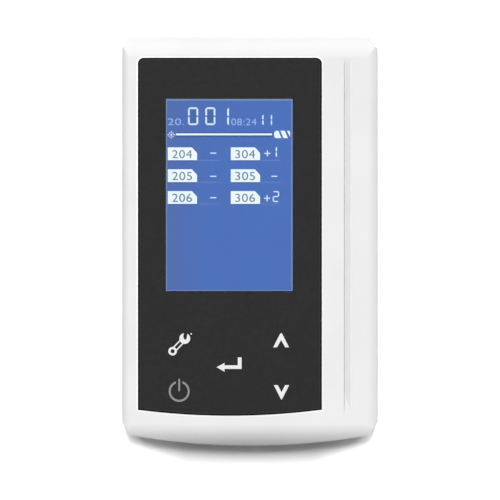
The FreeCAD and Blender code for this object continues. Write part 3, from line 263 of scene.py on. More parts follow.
def case_white(colour):
    """The case's grained white plastic, with a painted highlight along the recess of the panel."""
    look = Look("white_case", colour, roughness=0.5, specular=0.15)
    plain = look.drift(look.noise(PLASTIC_TONE, detail=3), colour, shade(colour, PLASTIC_SHARE))
    x, y, z = look.split(look.place)
    right = look.maths("SUBTRACT", x, PANEL_HIGH.x)
    left = look.maths("SUBTRACT", PANEL_LOW.x + HIGHLIGHT_GAP, x)
    upper = look.maths("SUBTRACT", y, PANEL_HIGH.y - PANEL_CORNER)
    off_x = look.maths("SUBTRACT", x, PANEL_X)
    off_y = look.maths("SUBTRACT", y, PANEL_LOW.y + PANEL_BOW)
    squares = look.maths("ADD", look.maths("MULTIPLY", off_x, off_x), look.maths("MULTIPLY", off_y, off_y))
    lower = look.maths("SUBTRACT", look.maths("SQRT", squares), PANEL_BOW)
    away = right
    for side in (left, lower, upper):
        away = look.maths("MAXIMUM", away, side)
    on_face = look.maths("GREATER_THAN", z, FACE_Z - HIGHLIGHT_DEPTH)
    # A ring of painted highlight, whiter than the case, just outside the panel
    ring = look.maths("MULTIPLY", look.ramp(away, *HIGHLIGHT_FADE, 1.0, 0.0), on_face)
    look.paint(look.blend(ring, plain, PAINTED_HIGHLIGHT_WHITE))
    look.gloss(look.noise(PLASTIC_GLOSS), PLASTIC_REACH)
    look.relief(look.noise(PLASTIC_GRAIN, detail=3), PLASTIC_DEPTH)
    return look.material


# The groove's painted shade and highlight: its tones from the steep side on, in shares of its width, and its
# two pale ends where the shade fades, the upper one brightened against the slope's shade
GROOVE_SHADE_SHARES = ((0.0, 213), (0.13, 217), (0.16, 231), (0.7, 231), (0.82, 240), (0.93, 250))
GROOVE_SHADE_LOWER_FADE = (-64 * MM, -67.5 * MM)
GROOVE_SHADE_LOWER_TONE = linear(232, 232, 232)
GROOVE_SHADE_UPPER_FADE = (67.5 * MM, 72 * MM)
GROOVE_SHADE_UPPER_TONE = linear(247, 247, 247)
GROOVE_SHADE_UPPER_MOST = 0.85
GROOVE_SHADE_PATCH, GROOVE_SHADE_GRAIN, GROOVE_SHADE_DEPTH = 9 * MM, 0.3 * MM, 0.006 * MM


def groove_painted_shade():
    """Painted shade in the groove: a darker line on its steep side, a grey floor, a bright lip that is a
    painted highlight, and pale ends.
    """
    look = Look("groove_painted_shade", linear(222, 222, 223), roughness=0.55, specular=0.15)
    x, y, _ = look.split(look.place)
    # Across the groove: painted shade by the steep wall and on the floor, and a painted highlight near the
    # far side
    across = look.nodes.new("ShaderNodeValToRGB")
    look.links.new(look.ramp(x, GROOVE_X, GROOVE_X + GROOVE_WIDTH), across.inputs["Fac"])
    stops = across.color_ramp.elements
    for index, (place, level) in enumerate(GROOVE_SHADE_SHARES):
        stop = stops[index] if index < 2 else stops.new(place)
        stop.position = place
        stop.color = linear(level, level, level)
    lower_end = look.ramp(y, *GROOVE_SHADE_LOWER_FADE)
    upper_end = look.ramp(y, *GROOVE_SHADE_UPPER_FADE, 0.0, GROOVE_SHADE_UPPER_MOST)
    pale = look.blend(lower_end, across.outputs["Color"], GROOVE_SHADE_LOWER_TONE)
    pale = look.blend(upper_end, pale, GROOVE_SHADE_UPPER_TONE)
    look.paint(look.drift(look.noise(GROOVE_SHADE_PATCH, detail=3), pale, linear(190, 190, 192), most=0.06))
    look.relief(look.noise(GROOVE_SHADE_GRAIN, detail=3), GROOVE_SHADE_DEPTH)
    return look.material


# Metal: its drawn grain, stretched along X where it is brushed, and patches of gloss
METAL_GRAIN, METAL_GLOSS, METAL_DEPTH = 0.9 * MM, 0.6 * MM, 0.004 * MM
METAL_STRETCH = (1.0, 26.0, 26.0)


def metal(name, colour, roughness=0.32, brushed=False):
    """Plated or drawn metal, with a drawn grain along X where it is brushed."""
    look = Look(name, colour, roughness, metallic=1.0)
    stretch = METAL_STRETCH if brushed else None
    grain = look.noise(METAL_GRAIN, detail=3, stretch=stretch)
    look.tint(grain, shade(colour, 0.82))
    look.gloss(look.noise(METAL_GLOSS, stretch=stretch), reach=0.1)
    look.relief(grain, METAL_DEPTH)
    return look.material


# Rubber: its dusty bloom and its grain
RUBBER_BLOOM, RUBBER_GRAIN, RUBBER_DEPTH = 2.5 * MM, 0.25 * MM, 0.02 * MM


def rubber(name, colour):
    """Moulded rubber with a dusty bloom."""
    look = Look(name, colour, roughness=0.75, specular=0.35)
    look.tint(look.noise(RUBBER_BLOOM, detail=4), shade(colour, 1.5))
    look.relief(look.noise(RUBBER_GRAIN, detail=3), RUBBER_DEPTH)
    return look.material


# Circuit board: its lanes, the share of a lane that is copper, and how far the copper stands out
BOARD_LANE, BOARD_DEPTH = 9 * MM, 0.02 * MM
COPPER_SHARE = 0.035


def board_green():
    """Solder mask over copper tracks that show as paler lanes."""
    base = linear(20, 92, 52)
    look = Look("board_green", base, roughness=0.3)
    lanes = look.nodes.new("ShaderNodeTexBrick")
    for socket, value in (("Scale", 1 / BOARD_LANE), ("Mortar Size", COPPER_SHARE), ("Color1", base),
                          ("Color2", shade(base, 0.85)), ("Mortar", linear(58, 132, 84))):
        lanes.inputs[socket].default_value = value
    look.links.new(look.place, lanes.inputs["Vector"])
    look.paint(lanes.outputs["Color"])
    look.relief(lanes.outputs["Fac"], BOARD_DEPTH)
    return look.material


# Panel film: patches of tone and of gloss, its velvet grain, and where its rim's painted shade turns lighter
# below the upper edge
FILM_TONE, FILM_GLOSS, FILM_GRAIN, FILM_DEPTH = 14 * MM, 0.8 * MM, 0.12 * MM, 0.0015 * MM
FILM_REACH = 0.05
RIM_FADE = (3 * MM, 1.2 * MM)


def panel_film(name, colour):
    """Printed polyester film with a very fine velvet grain."""
    look = Look(name, colour, roughness=0.5, specular=0.08)
    look.tint(look.noise(FILM_TONE), shade(colour, 1.08))
    look.gloss(look.noise(FILM_GLOSS), FILM_REACH)
    look.relief(look.noise(FILM_GRAIN), FILM_DEPTH)
    return look.material


def film_rim_shade(name, colour, upper_colour):
    """The film's rim of painted shade along its chamfered edge, lighter along its upper edge."""
    look = Look(name, colour, roughness=0.5, specular=0.02)
    _, y, _ = look.split(look.place)
    upper = look.ramp(y, *(PANEL_HIGH.y - below for below in RIM_FADE))
    rim = look.blend(upper, colour, upper_colour)
    look.paint(look.drift(look.noise(FILM_TONE), rim, shade(upper_colour, 1.2), most=0.1))
    look.gloss(look.noise(FILM_GLOSS), FILM_REACH)
    return look.material


# Ink: its uneven tone and its grain
INK_TONE, INK_GRAIN, INK_DEPTH = 0.7 * MM, 0.1 * MM, 0.004 * MM


def ink(name, colour):
    """Screen-printed ink, slightly uneven."""
    look = Look(name, colour, roughness=0.5, specular=0.3)
    look.tint(look.noise(INK_TONE, detail=3), shade(colour, 0.93))
    look.relief(look.noise(INK_GRAIN), INK_DEPTH)
    return look.material


# Clear plastic: its tint and its long waves
CLEAR_TINT = (0.97, 0.98, 1.0, 1.0)
CLEAR_WAVE, CLEAR_DEPTH = 18 * MM, 0.002 * MM


def clear(name, ior=1.22):
    """Clear plastic with a coating that takes most of its glare."""
    look = Look(name, CLEAR_TINT, roughness=0.015)
    look.surface.inputs["Transmission Weight"].default_value = 1.0
    look.surface.inputs["IOR"].default_value = ior
    look.relief(look.noise(CLEAR_WAVE), CLEAR_DEPTH)
    return look.material


# The display's own light: its clouds, and where its left edge is duller
GLOW_CLOUD = 16 * MM
GLOW_FADE = (-33 * MM, -16 * MM)


def lit(name, colour, other=None, left=None):
    """A surface of the display that gives its own light, cloudy, and duller at its left edge."""
    look = Look(name, BLACK, roughness=0.5, specular=0.0)
    glow = look.drift(look.noise(GLOW_CLOUD), colour, other or shade(colour, 0.9))
    if left:
        x, _, _ = look.split(look.place)
        glow = look.blend(look.ramp(x, *GLOW_FADE, 1.0, 0.0), glow, left)
    look.paint(glow, "Emission Color")
    look.surface.inputs["Emission Strength"].default_value = 1.0
    return look.material


LOOKS = {
    "white_case": case_white(linear(238, 238, 239)),
    "black_panel": panel_film("black_panel", linear(29, 29, 29)),
    "clear_pane": clear("clear_pane"),
    "blue_display": lit("blue_display", linear(22, 34, 58)),
    "light_guide": moulded("light_guide", linear(214, 222, 236), roughness=0.25),
    "dark_frame": moulded("dark_frame", linear(30, 34, 46), roughness=0.5),
    "foam": rubber("foam", linear(22, 30, 48)),
    "board_green": board_green(),
    "chip_black": moulded("chip_black", linear(34, 34, 36), roughness=0.55, grain=CHIP_GRAIN),
    "key_grey": moulded("key_grey", linear(178, 180, 184), roughness=0.5),
    "switch_black": moulded("switch_black", linear(38, 38, 40)),
    "steel": metal("steel", linear(196, 198, 202)),
    "nickel": metal("nickel", linear(206, 203, 196), roughness=0.22),
    "tray_white": moulded("tray_white", linear(232, 233, 234), roughness=0.5),
    "gear_white": moulded("gear_white", linear(230, 228, 216), roughness=0.38, specular=0.55),
    "tile_white": moulded("tile_white", linear(244, 244, 242), roughness=0.8, grain=TILE_GRAIN),
    "guide_grey": moulded("guide_grey", linear(96, 99, 102), roughness=0.5),
    "lens_clear": clear("lens_clear", ior=1.45),
    "cell_jacket": metal("cell_jacket", linear(150, 153, 158), roughness=0.4, brushed=True),
    "rubber_grey": rubber("rubber_grey", linear(62, 62, 64)),
    "ribbon_amber": moulded("ribbon_amber", linear(188, 118, 34), roughness=0.35),
}
GROOVE_PAINTED_SHADE = groove_painted_shade()
FILM_RIM_SHADE = film_rim_shade("film_rim_shade", linear(3, 3, 4), linear(27, 27, 27))
FILM_LINE = panel_film("film_line", linear(42, 42, 42))
WHITE_INK = ink("white_ink", linear(236, 236, 236))
GREY_INK = ink("grey_ink", linear(134, 134, 134))
# The bead round the panel is a real piece, made whiter than the case as a painted highlight
LIP_WHITE_HIGHLIGHT = moulded("lip_painted_highlight", linear(253, 253, 253), roughness=0.3, depth=LIP_DEPTH)
LCD_BLUE = lit("lcd_blue", linear(69, 111, 187), linear(73, 109, 184), linear(79, 107, 174))
LCD_EDGE = lit("lcd_edge", linear(122, 142, 178), linear(112, 134, 176))
LCD_WHITE = lit("lcd_white", linear(206, 228, 255), linear(222, 238, 255))
LCD_PALE = lit("lcd_pale", linear(142, 176, 236), linear(154, 186, 240))
LCD_TAG = lit("lcd_tag", linear(232, 248, 252), linear(244, 252, 255))
LCD_TAG_TEXT = lit("lcd_tag_text", linear(92, 116, 134), linear(106, 128, 146))
LCD_FAINT = lit("lcd_faint", linear(98, 134, 202), linear(106, 140, 204))
LCD_SHADE = lit("lcd_shade", linear(60, 88, 148), linear(66, 94, 152))
LCD_GHOST = lit("lcd_ghost", linear(66, 100, 158), linear(70, 104, 162))


def dress_nodes():
    """Each carried node takes the look of the record's slot for it."""
    for part in frame["record"]["subparts"]:
        piece = NODES[part["node"]]
        piece.data.materials.clear()
        piece.data.materials.append(LOOKS[part["material_slot"]])


# Shapes
EDGE_STEPS = 2


def spaced(start, end, count):
    """Even steps from a start to an end, without the start itself."""
    return [start + (end - start) * step / count for step in range(1, count + 1)]


def arc(centre, radius, start, end, steps):
    """Points round part of a circle, from one angle to another in degrees."""
    angles = [math.radians(angle) for angle in [start] + spaced(start, end, steps)]
    return [(centre[0] + radius * math.cos(angle), centre[1] + radius * math.sin(angle)) for angle in angles]


def rectangle(low, high):
    """The corners of an upright rectangle."""
    return [(low[0], low[1]), (high[0], low[1]), (high[0], high[1]), (low[0], high[1])]


def new_object(name, data):
    """An object of the scene that shows a mesh or a curve, or holds a light or a camera."""
    piece = bpy.data.objects.new(name, data)
    bpy.context.scene.collection.objects.link(piece)
    return piece


def curve_mesh(name, curve):
    """The mesh of a filled curve."""
    source = new_object(name, curve)
    bpy.context.view_layer.update()
    mesh = bpy.data.meshes.new_from_object(source.evaluated_get(bpy.context.evaluated_depsgraph_get()))
    bpy.data.objects.remove(source)
    return mesh


def mesh_piece(name, shape):
    """A piece made of a built shape, which is then let go."""
    mesh = bpy.data.meshes.new(name)
    shape.to_mesh(mesh)
    shape.free()
    return new_object(name, mesh)


def flat_piece(name, loops, low, high, edge=0.0):
    """A plate between two heights, with an outline, holes, and rounded edges."""
    curve = bpy.data.curves.new(name + "_outline", "CURVE")
    curve.dimensions = "2D"
    curve.fill_mode = "BOTH"
    curve.extrude = (high - low) / 2 - edge
    curve.bevel_depth = edge
    curve.bevel_resolution = EDGE_STEPS
    curve.offset = -edge
    for loop in loops:
        spline = curve.splines.new("POLY")
        spline.points.add(len(loop) - 1)
        for point, (x, y) in zip(spline.points, loop):
            point.co = (x, y, 0.0, 1.0)
        spline.use_cyclic_u = True
    mesh = curve_mesh(name + "_outline", curve)
    mesh.transform(Matrix.Translation((0.0, 0.0, (low + high) / 2)))
    return new_object(name, mesh)


def finish_piece(piece, look, body="root"):
    """Give a piece its look and the body it rides on."""
    piece.data.materials.clear()
    piece.data.materials.append(look)
    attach(piece, body)
    return piece


# Front panel: the pane's lap, the film's insets above, below, left and right, and its rim and hairline
PANE_LAP = 1.5 * MM
FILM_EDGES = (0.33 * MM, 0.1 * MM, 0.36 * MM, 0.0)
FILM_CORNER = 2.3 * MM
FILM_Z = FACE_Z - 0.04 * MM
PRINT_Z = FACE_Z - 0.02 * MM
RIM_INSET, LINE_INSET = 0.6 * MM, 0.95 * MM
LIP_REACH, LIP_EDGE = 0.13 * MM, 0.05 * MM
LIP_Z = FACE_Z - 0.005 * MM
BOW_STEPS, CORNER_STEPS = 40, 8


def panel_outline(upper, lower, left, right, corner):
    """The panel's outline inset at its ends and sides: rounded upper corners and a bowed lower edge."""
    left, right = PANEL_LOW.x + left, PANEL_HIGH.x - right
    top, bow = PANEL_HIGH.y - upper, PANEL_BOW - lower
    reach = math.degrees(math.asin((right - PANEL_X) / bow))
    back = math.degrees(math.asin((PANEL_X - left) / bow))
    points = arc((PANEL_X, PANEL_LOW.y + PANEL_BOW), bow, -90 - back, -90 + reach, BOW_STEPS)
    points += arc((right - corner, top - corner), corner, 0, 90, CORNER_STEPS)
    points += arc((left + corner, top - corner), corner, 90, 180, CORNER_STEPS)
    return points


def film_outline(inset):
    """The film's outline at an inset from its own edge."""
    return panel_outline(*(edge + inset for edge in FILM_EDGES), FILM_CORNER - inset)


def front_panel():
    """The film in its recess, its darker rim of painted shade and its hairline, and the white bead round it,
    whiter than the case as a painted highlight.
    """
    low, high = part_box("display_window")
    view = rectangle((low.x + PANE_LAP, low.y + PANE_LAP), (high.x - PANE_LAP, high.y - PANE_LAP))
    film = flat_piece("panel_film", [film_outline(0.0), view[::-1]], PANEL_LOW.z, FILM_Z)
    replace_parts(finish_piece(film, LOOKS["black_panel"]), "front_overlay")
    # The rim is painted shade along the film's chamfered edge
    rings = [("panel_rim", FILM_RIM_SHADE, 0.0, RIM_INSET), ("panel_line", FILM_LINE, RIM_INSET, LINE_INSET)]
    for name, look, outer, inner in rings:
        ring = flat_piece(name, [film_outline(outer), film_outline(inner)[::-1]], FILM_Z, PRINT_Z)
        finish_piece(ring, look)
    outside = panel_outline(*[-LIP_REACH] * len(FILM_EDGES), PANEL_CORNER + LIP_REACH)
    lip = flat_piece("panel_lip", [outside, film_outline(0.0)[::-1]], PANEL_LOW.z, LIP_Z, LIP_EDGE)
    finish_piece(lip, LIP_WHITE_HIGHLIGHT)


# Groove's shade sheet: half its thickness, its columns on the steep wall, its gaps, and its steps
SHADE_SHEET_SKIN = 0.04 * MM
SHADE_SHEET_WALL_COLUMNS = (0.03 * MM, 0.14 * MM, 0.27 * MM)
SHADE_SHEET_SIDE_GAP = 0.15 * MM
SHADE_SHEET_LOWER_GAP, SHADE_SHEET_UPPER_GAP = 0.1 * MM, 0.05 * MM
SHADE_SHEET_TOP_GAP = 0.01 * MM
SHADE_SHEET_SLOPE_STEPS = 12
SHADE_SHEET_ROW_STEPS = (16, 24, 10)


def groove_shade_sheet():
    """A thin closed skin that lies in the groove, follows its floor into both run-outs, and carries the
    groove's painted shade and highlight.
    """
    wall_foot, far_side = GROOVE_X + GROOVE_WALL, GROOVE_X + GROOVE_WIDTH
    columns = [GROOVE_X + offset for offset in SHADE_SHEET_WALL_COLUMNS] + [wall_foot]
    columns += spaced(wall_foot, far_side, SHADE_SHEET_SLOPE_STEPS)[:-1] + [far_side - SHADE_SHEET_SIDE_GAP]
    low, fade, rise, high = GROOVE_ENDS
    bends = (low + SHADE_SHEET_LOWER_GAP, fade, rise, high - SHADE_SHEET_UPPER_GAP)
    rows = [bends[0]]
    for start, end, steps in zip(bends, bends[1:], SHADE_SHEET_ROW_STEPS):
        rows += spaced(start, end, steps)

    def floor(x, y):
        """How deep the groove is at a place."""
        wall = (x - GROOVE_X) / GROOVE_WALL
        slope = (far_side - x) / (GROOVE_WIDTH - GROOVE_WALL)
        run_out = min((y - low) / (fade - low), (high - y) / (high - rise))
        return GROOVE_DEPTH * min(wall, slope, run_out, 1.0)

    shape = bmesh.new()
    sheets = []
    for lift in (SHADE_SHEET_SKIN, -SHADE_SHEET_SKIN):
        sheets.append([[shape.verts.new((x, y, min(FACE_Z - floor(x, y) + lift, FACE_Z - SHADE_SHEET_TOP_GAP)))
                        for x in columns] for y in rows])
    top, under = sheets
    last_row, last_column = len(rows) - 1, len(columns) - 1
    for row in range(last_row):
        for column in range(last_column):
            corners = ((row, column), (row, column + 1), (row + 1, column + 1), (row + 1, column))
            shape.faces.new([top[a][b] for a, b in corners])
            shape.faces.new([under[a][b] for a, b in reversed(corners)])
    rim = [(0, column) for column in range(last_column)] + [(row, last_column) for row in range(last_row)]
    rim += [(last_row, column) for column in range(last_column, 0, -1)]
    rim += [(row, 0) for row in range(last_row, 0, -1)]
    for (a, b), (c, d) in zip(rim, rim[1:] + rim[:1]):
        shape.faces.new([under[a][b], under[c][d], top[c][d], top[a][b]])
    # The skin carries only painted shade and highlight
    finish_piece(mesh_piece("groove_shade_sheet", shape), GROOVE_PAINTED_SHADE)


# Marks, in the photograph's pixels
def mark(name, loops, look, low, high):
    """A flat mark between two heights, drawn in pixels."""
    outlines = [[at(point, high) for point in loop] for loop in loops]
    finish_piece(flat_piece(name, outlines, low, high), look)


def turn(centre, radius, start, end, steps):
    """Points in pixels round part of a circle, anticlockwise from the right as seen."""
    return [(x, 2 * centre[1] - y) for x, y in arc(centre, radius, start, end, steps)]


def circle(centre, radius, count):
    """A count of points in pixels round a whole circle."""
    return turn(centre, radius, 0, 360 - 360 / count, count - 1)


def moved(loop, x, y):
    """A loop in pixels moved by a distance to the right and down."""
    return [(x + right, y + down) for right, down in loop]


# The spanner: its ring, handle, open head and dot, the head's two ends in degrees, and its points
SPANNER_RING, SPANNER_HEAD, SPANNER_DOT = (172.6, 351.2), (184.8, 338.5), (191.2, 333.9)
RING_RADIUS, HOLE_RADIUS, HEAD_RADIUS, DOT_RADIUS = 4.3, 2.1, 5.4, 0.8
HANDLE_BARS = ((-2.65, -1.35), (1.35, 2.65))
HEAD_START, HEAD_END = 61, -259
RING_POINTS, HOLE_POINTS, HEAD_STEPS, DOT_POINTS = 24, 18, 40, 12
SPANNER_JAW = [(183.2, 336.4), (183.9, 338.9), (185.3, 339.9), (186.6, 338.7), (187.0, 336.0)]

# The power sign: its ring, half its opening in degrees, the slant of its ends, and its bar
POWER_CENTRE = (179.2, 391.3)
POWER_OUTER, POWER_INNER = 10.5, 8.5
POWER_OPENING, POWER_SLANT = 18, 4
POWER_BAR = (379.6, 390.4)
POWER_BAR_HALF = 0.9
POWER_STEPS, POWER_BAR_STEPS = 44, 8

# The three arrows
ENTER_ARROW = [(216.6, 367.2), (224.7, 362.8), (224.3, 365.3), (237.8, 365.3), (237.8, 357.4),
               (241.6, 357.4), (241.6, 368.9), (224.3, 368.9), (224.7, 371.8)]
UP_ARROW = [(280.4, 333.3), (281.9, 333.3), (289.0, 347.3), (285.2, 347.3), (281.1, 339.9),
            (277.1, 347.3), (273.2, 347.3)]
DOWN_ARROW = [(273.8, 385.1), (277.8, 385.1), (281.5, 392.1), (285.2, 385.1), (289.2, 385.1),
              (281.9, 399.4), (281.1, 399.4)]


def spanner():
    """A ring end, a handle of two bars, an open head, and a dot."""
    along = Vector((SPANNER_HEAD[0] - SPANNER_RING[0], SPANNER_HEAD[1] - SPANNER_RING[1]))
    reach = along.length
    along.normalize()
    across = Vector((-along.y, along.x))
    loops = [circle(SPANNER_RING, RING_RADIUS, RING_POINTS)]
    loops.append(circle(SPANNER_RING, HOLE_RADIUS, HOLE_POINTS)[::-1])
    for near, far in HANDLE_BARS:
        starts = [(offset, math.sqrt(RING_RADIUS ** 2 - offset ** 2)) for offset in (near, far)]
        ends = [(offset, reach - math.sqrt(HEAD_RADIUS ** 2 - offset ** 2)) for offset in (far, near)]
        corners = [Vector(SPANNER_RING) + along * run + across * offset for offset, run in starts + ends]
        loops.append([tuple(corner) for corner in corners])
    loops.append(turn(SPANNER_HEAD, HEAD_RADIUS, HEAD_START, HEAD_END, HEAD_STEPS) + SPANNER_JAW)
    loops.append(circle(SPANNER_DOT, DOT_RADIUS, DOT_POINTS))
    return loops


def power_sign():
    """A ring open at its top, with a bar in the opening."""
    start, end = 90 + POWER_OPENING, 450 - POWER_OPENING
    ring = turn(POWER_CENTRE, POWER_OUTER, start, end, POWER_STEPS)
    ring += turn(POWER_CENTRE, POWER_INNER, end - POWER_SLANT, start + POWER_SLANT, POWER_STEPS)
    bar_top, bar_foot = ((POWER_CENTRE[0], y) for y in POWER_BAR)
    bar = turn(bar_top, POWER_BAR_HALF, 0, 180, POWER_BAR_STEPS)
    bar += turn(bar_foot, POWER_BAR_HALF, 180, 360, POWER_BAR_STEPS)
    return [ring, bar]


def icons():
    """The five key signs: spanner, enter, up, down and power."""
    signs = {"setup_sign": spanner(), "enter_sign": [ENTER_ARROW], "up_sign": [UP_ARROW],
             "down_sign": [DOWN_ARROW]}
    for name, loops in signs.items():
        mark(name, loops, WHITE_INK, FILM_Z, PRINT_Z)
    mark("power_sign", power_sign(), GREY_INK, FILM_Z, PRINT_Z)


# The display's layers, which lie on its glass
LAYER = 0.03 * MM
LAYERS = 4

# What it shows, in pixels: the field, the inside of its bright edge, and the bar with its shade and end
FIELD = ((166.0, 98.9), (292.6, 290.9))
FIELD_INSIDE = ((167.0, 100.7), (291.2, 290.1))
BAR = ((176.0, 133.4), (272.1, 135.3))
BAR_SHADE = ((176.2, 132.2), (272.9, 137.3))
BAR_END = [[(274.2, 132.4), (275.8, 130.8), (278.3, 130.7), (281.4, 138.1), (275.8, 138.1), (274.2, 136.6)],
           [(280.4, 130.7), (284.7, 130.7), (287.9, 138.1), (283.4, 138.1)],
           [(286.9, 130.7), (289.4, 131.0), (290.1, 132.2), (290.0, 136.9)]]

# The sparkle before the bar: its dot, and its long and short rays
STAR = (171.3, 134.8)
RAYS = 8
STAR_DOT, RAY_START, LONG_RAY, SHORT_RAY = 0.9, 1.9, 3.6, 3.1
STAR_POINTS = 12
RAY_HALF_START, RAY_HALF_END = 0.35, 0.45

# Tags: where they stand, their outline, their shade, the line beside each, and the number on each
TAG_ROWS, TAG_COLUMNS = (147.1, 169.0, 190.8), (167.8, 230.8)
TAG_OUTLINE = [(0.0, 0.3), (24.1, 0.3), (29.3, 5.9), (29.3, 13.1), (0.0, 13.1)]
TAG_SHADE_SHIFT = 1.0
TAG_LINE_START, TAG_LINE_TOP, TAG_LINE_FOOT = 29.8, 12.9, 13.6
TAG_LINE_LENGTHS = (22.6, 20.6)
TAG_NUMBER = ((4.4, 2.9), (24.2, 11.2))

# Seven-bar digits: the corners, stroke and lit bars of each, and the shade inside the first two
DIGITS = (((188.0, 107.3), (198.2, 125.1), 1.75, "abcdef"), ((205.3, 107.3), (215.4, 125.1), 1.75, "abcdef"),
          ((272.7, 191.1), (279.1, 202.0), 1.15, "abged"))
GHOST_LEFTS = (188.0, 205.2)
GHOST = ((2.5, 109.7), (7.9, 122.6))

# Seven-bar ones: the right side, upper end, lower end and stroke of each
ONES = ((229.0, 107.8, 125.4, 1.9), (263.6, 114.5, 125.3, 1.5), (272.1, 114.5, 125.3, 1.35),
        (277.0, 146.6, 157.1, 1.35))

# Minus and plus signs: their middles, half their length, and half their stroke
MINUS_PLACES = ((213.3, 153.1), (213.3, 176.3), (213.3, 197.7), (274.4, 176.3))
PLUS_PLACES = ((267.4, 153.4), (267.1, 198.3))
SIGN_REACH, SIGN_HALF = 3.05, 0.55

# Small numbers: their corners, and the spacing of the figures
SMALL_NUMBERS = [("20.", (167.8, 118.4), (184.2, 125.2)), ("08:24", (231.2, 118.4), (256.6, 125.4))]
FIGURE_SPACING = 1.06


def digit(low, high, stroke, lit_bars):
    """The bars of one seven-bar digit; the bars run clockwise from a at the top, and g is the middle."""
    (x_low, y_low), (x_high, y_high) = low, high
    middle, half, clip = (y_low + y_high) / 2, stroke / 2, 0.95 * stroke
    gap, slack, tip = 0.34 * stroke, 0.06 * stroke, 0.55 * stroke
    side_tip, side_notch, side_drop = 0.45 * stroke, 0.2 * stroke, 0.1 * stroke
    left_upper = [(x_low, y_low + clip), (x_low + clip / 2 - slack, y_low + clip / 2 + slack),
                  (x_low + stroke, y_low + stroke + slack), (x_low + stroke, middle - gap - side_notch),
                  (x_low + side_tip, middle - gap), (x_low, middle - gap - side_drop)]
    top = [(x_low + clip / 2 + slack, y_low + clip / 2 - slack), (x_low + clip, y_low),
           (x_high - clip, y_low), (x_high - clip / 2 - slack, y_low + clip / 2 - slack),
           (x_high - stroke - slack, y_low + stroke), (x_low + stroke + slack, y_low + stroke)]

    def across(loop):
        """The loop turned over from left to right."""
        return [(x_low + x_high - x, y) for x, y in loop]

    def down(loop):
        """The loop turned over from top to bottom."""
        return [(x, y_low + y_high - y) for x, y in loop]

    bars = {
        "a": top, "d": down(top), "f": left_upper, "b": across(left_upper), "e": down(left_upper),
        "c": down(across(left_upper)),
        "g": [(x_low + tip, middle), (x_low + stroke, middle - half), (x_high - stroke, middle - half),
              (x_high - tip, middle), (x_high - stroke, middle + half), (x_low + stroke, middle + half)],
    }
    return [bars[letter] for letter in lit_bars]


def one(x_high, y_low, y_high, stroke):
    """The two upright bars of a seven-bar one, their outer ends cut on the slant."""
    gap, slant, notch = 0.3 * stroke, 0.9 * stroke, 0.25 * stroke
    middle, x_low = (y_low + y_high) / 2, x_high - stroke
    upper = [(x_low, y_low + slant), (x_high, y_low), (x_high, middle - gap), (x_low, middle - gap - notch)]
    return [upper, [(x, y_low + y_high - y) for x, y in upper]]


def plus(x, y):
    """A plus sign about its middle."""
    loop = []
    corner = [(-SIGN_REACH, -SIGN_HALF), (-SIGN_HALF, -SIGN_HALF), (-SIGN_HALF, -SIGN_REACH)]
    for _ in range(4):
        loop += corner
        corner = [(-down, right) for right, down in corner]
    return moved(loop, x, y)


def minus(x, y):
    """A minus sign about its middle."""
    return moved(rectangle((-SIGN_REACH, -SIGN_HALF), (SIGN_REACH, SIGN_HALF)), x, y)


def star():
    """A small sparkle: a dot and eight rays about it, long and short in turn."""
    loops = [circle(STAR, STAR_DOT, STAR_POINTS)]
    for index in range(RAYS):
        angle = 2 * math.pi * index / RAYS
        out, side = Vector((math.cos(angle), math.sin(angle))), Vector((-math.sin(angle), math.cos(angle)))
        far = LONG_RAY if index % 2 == 0 else SHORT_RAY
        corners = (out * RAY_START - side * RAY_HALF_START, out * far - side * RAY_HALF_END,
                   out * far + side * RAY_HALF_END, out * RAY_START + side * RAY_HALF_START)
        loops.append(moved(corners, *STAR))
    return loops


def numerals(name, words, look, low, high):
    """Plain numbers, each drawn to fill a box of pixels, as one mesh."""
    joined = bmesh.new()
    for word, corner_low, corner_high in words:
        curve = bpy.data.curves.new(name + "_words", "FONT")
        curve.body = word
        curve.extrude = (high - low) / 2
        curve.space_character = FIGURE_SPACING
        mesh = curve_mesh(name + "_words", curve)
        x = [vertex.co.x for vertex in mesh.vertices]
        y = [vertex.co.y for vertex in mesh.vertices]
        left, bottom = at((corner_low[0], corner_high[1]), high)
        right, top = at((corner_high[0], corner_low[1]), high)
        for vertex in mesh.vertices:
            vertex.co.x = left + (vertex.co.x - min(x)) * (right - left) / (max(x) - min(x))
            vertex.co.y = bottom + (vertex.co.y - min(y)) * (top - bottom) / (max(y) - min(y))
            vertex.co.z += (low + high) / 2
        joined.from_mesh(mesh)
        bpy.data.meshes.remove(mesh)
    finish_piece(mesh_piece(name, joined), look)


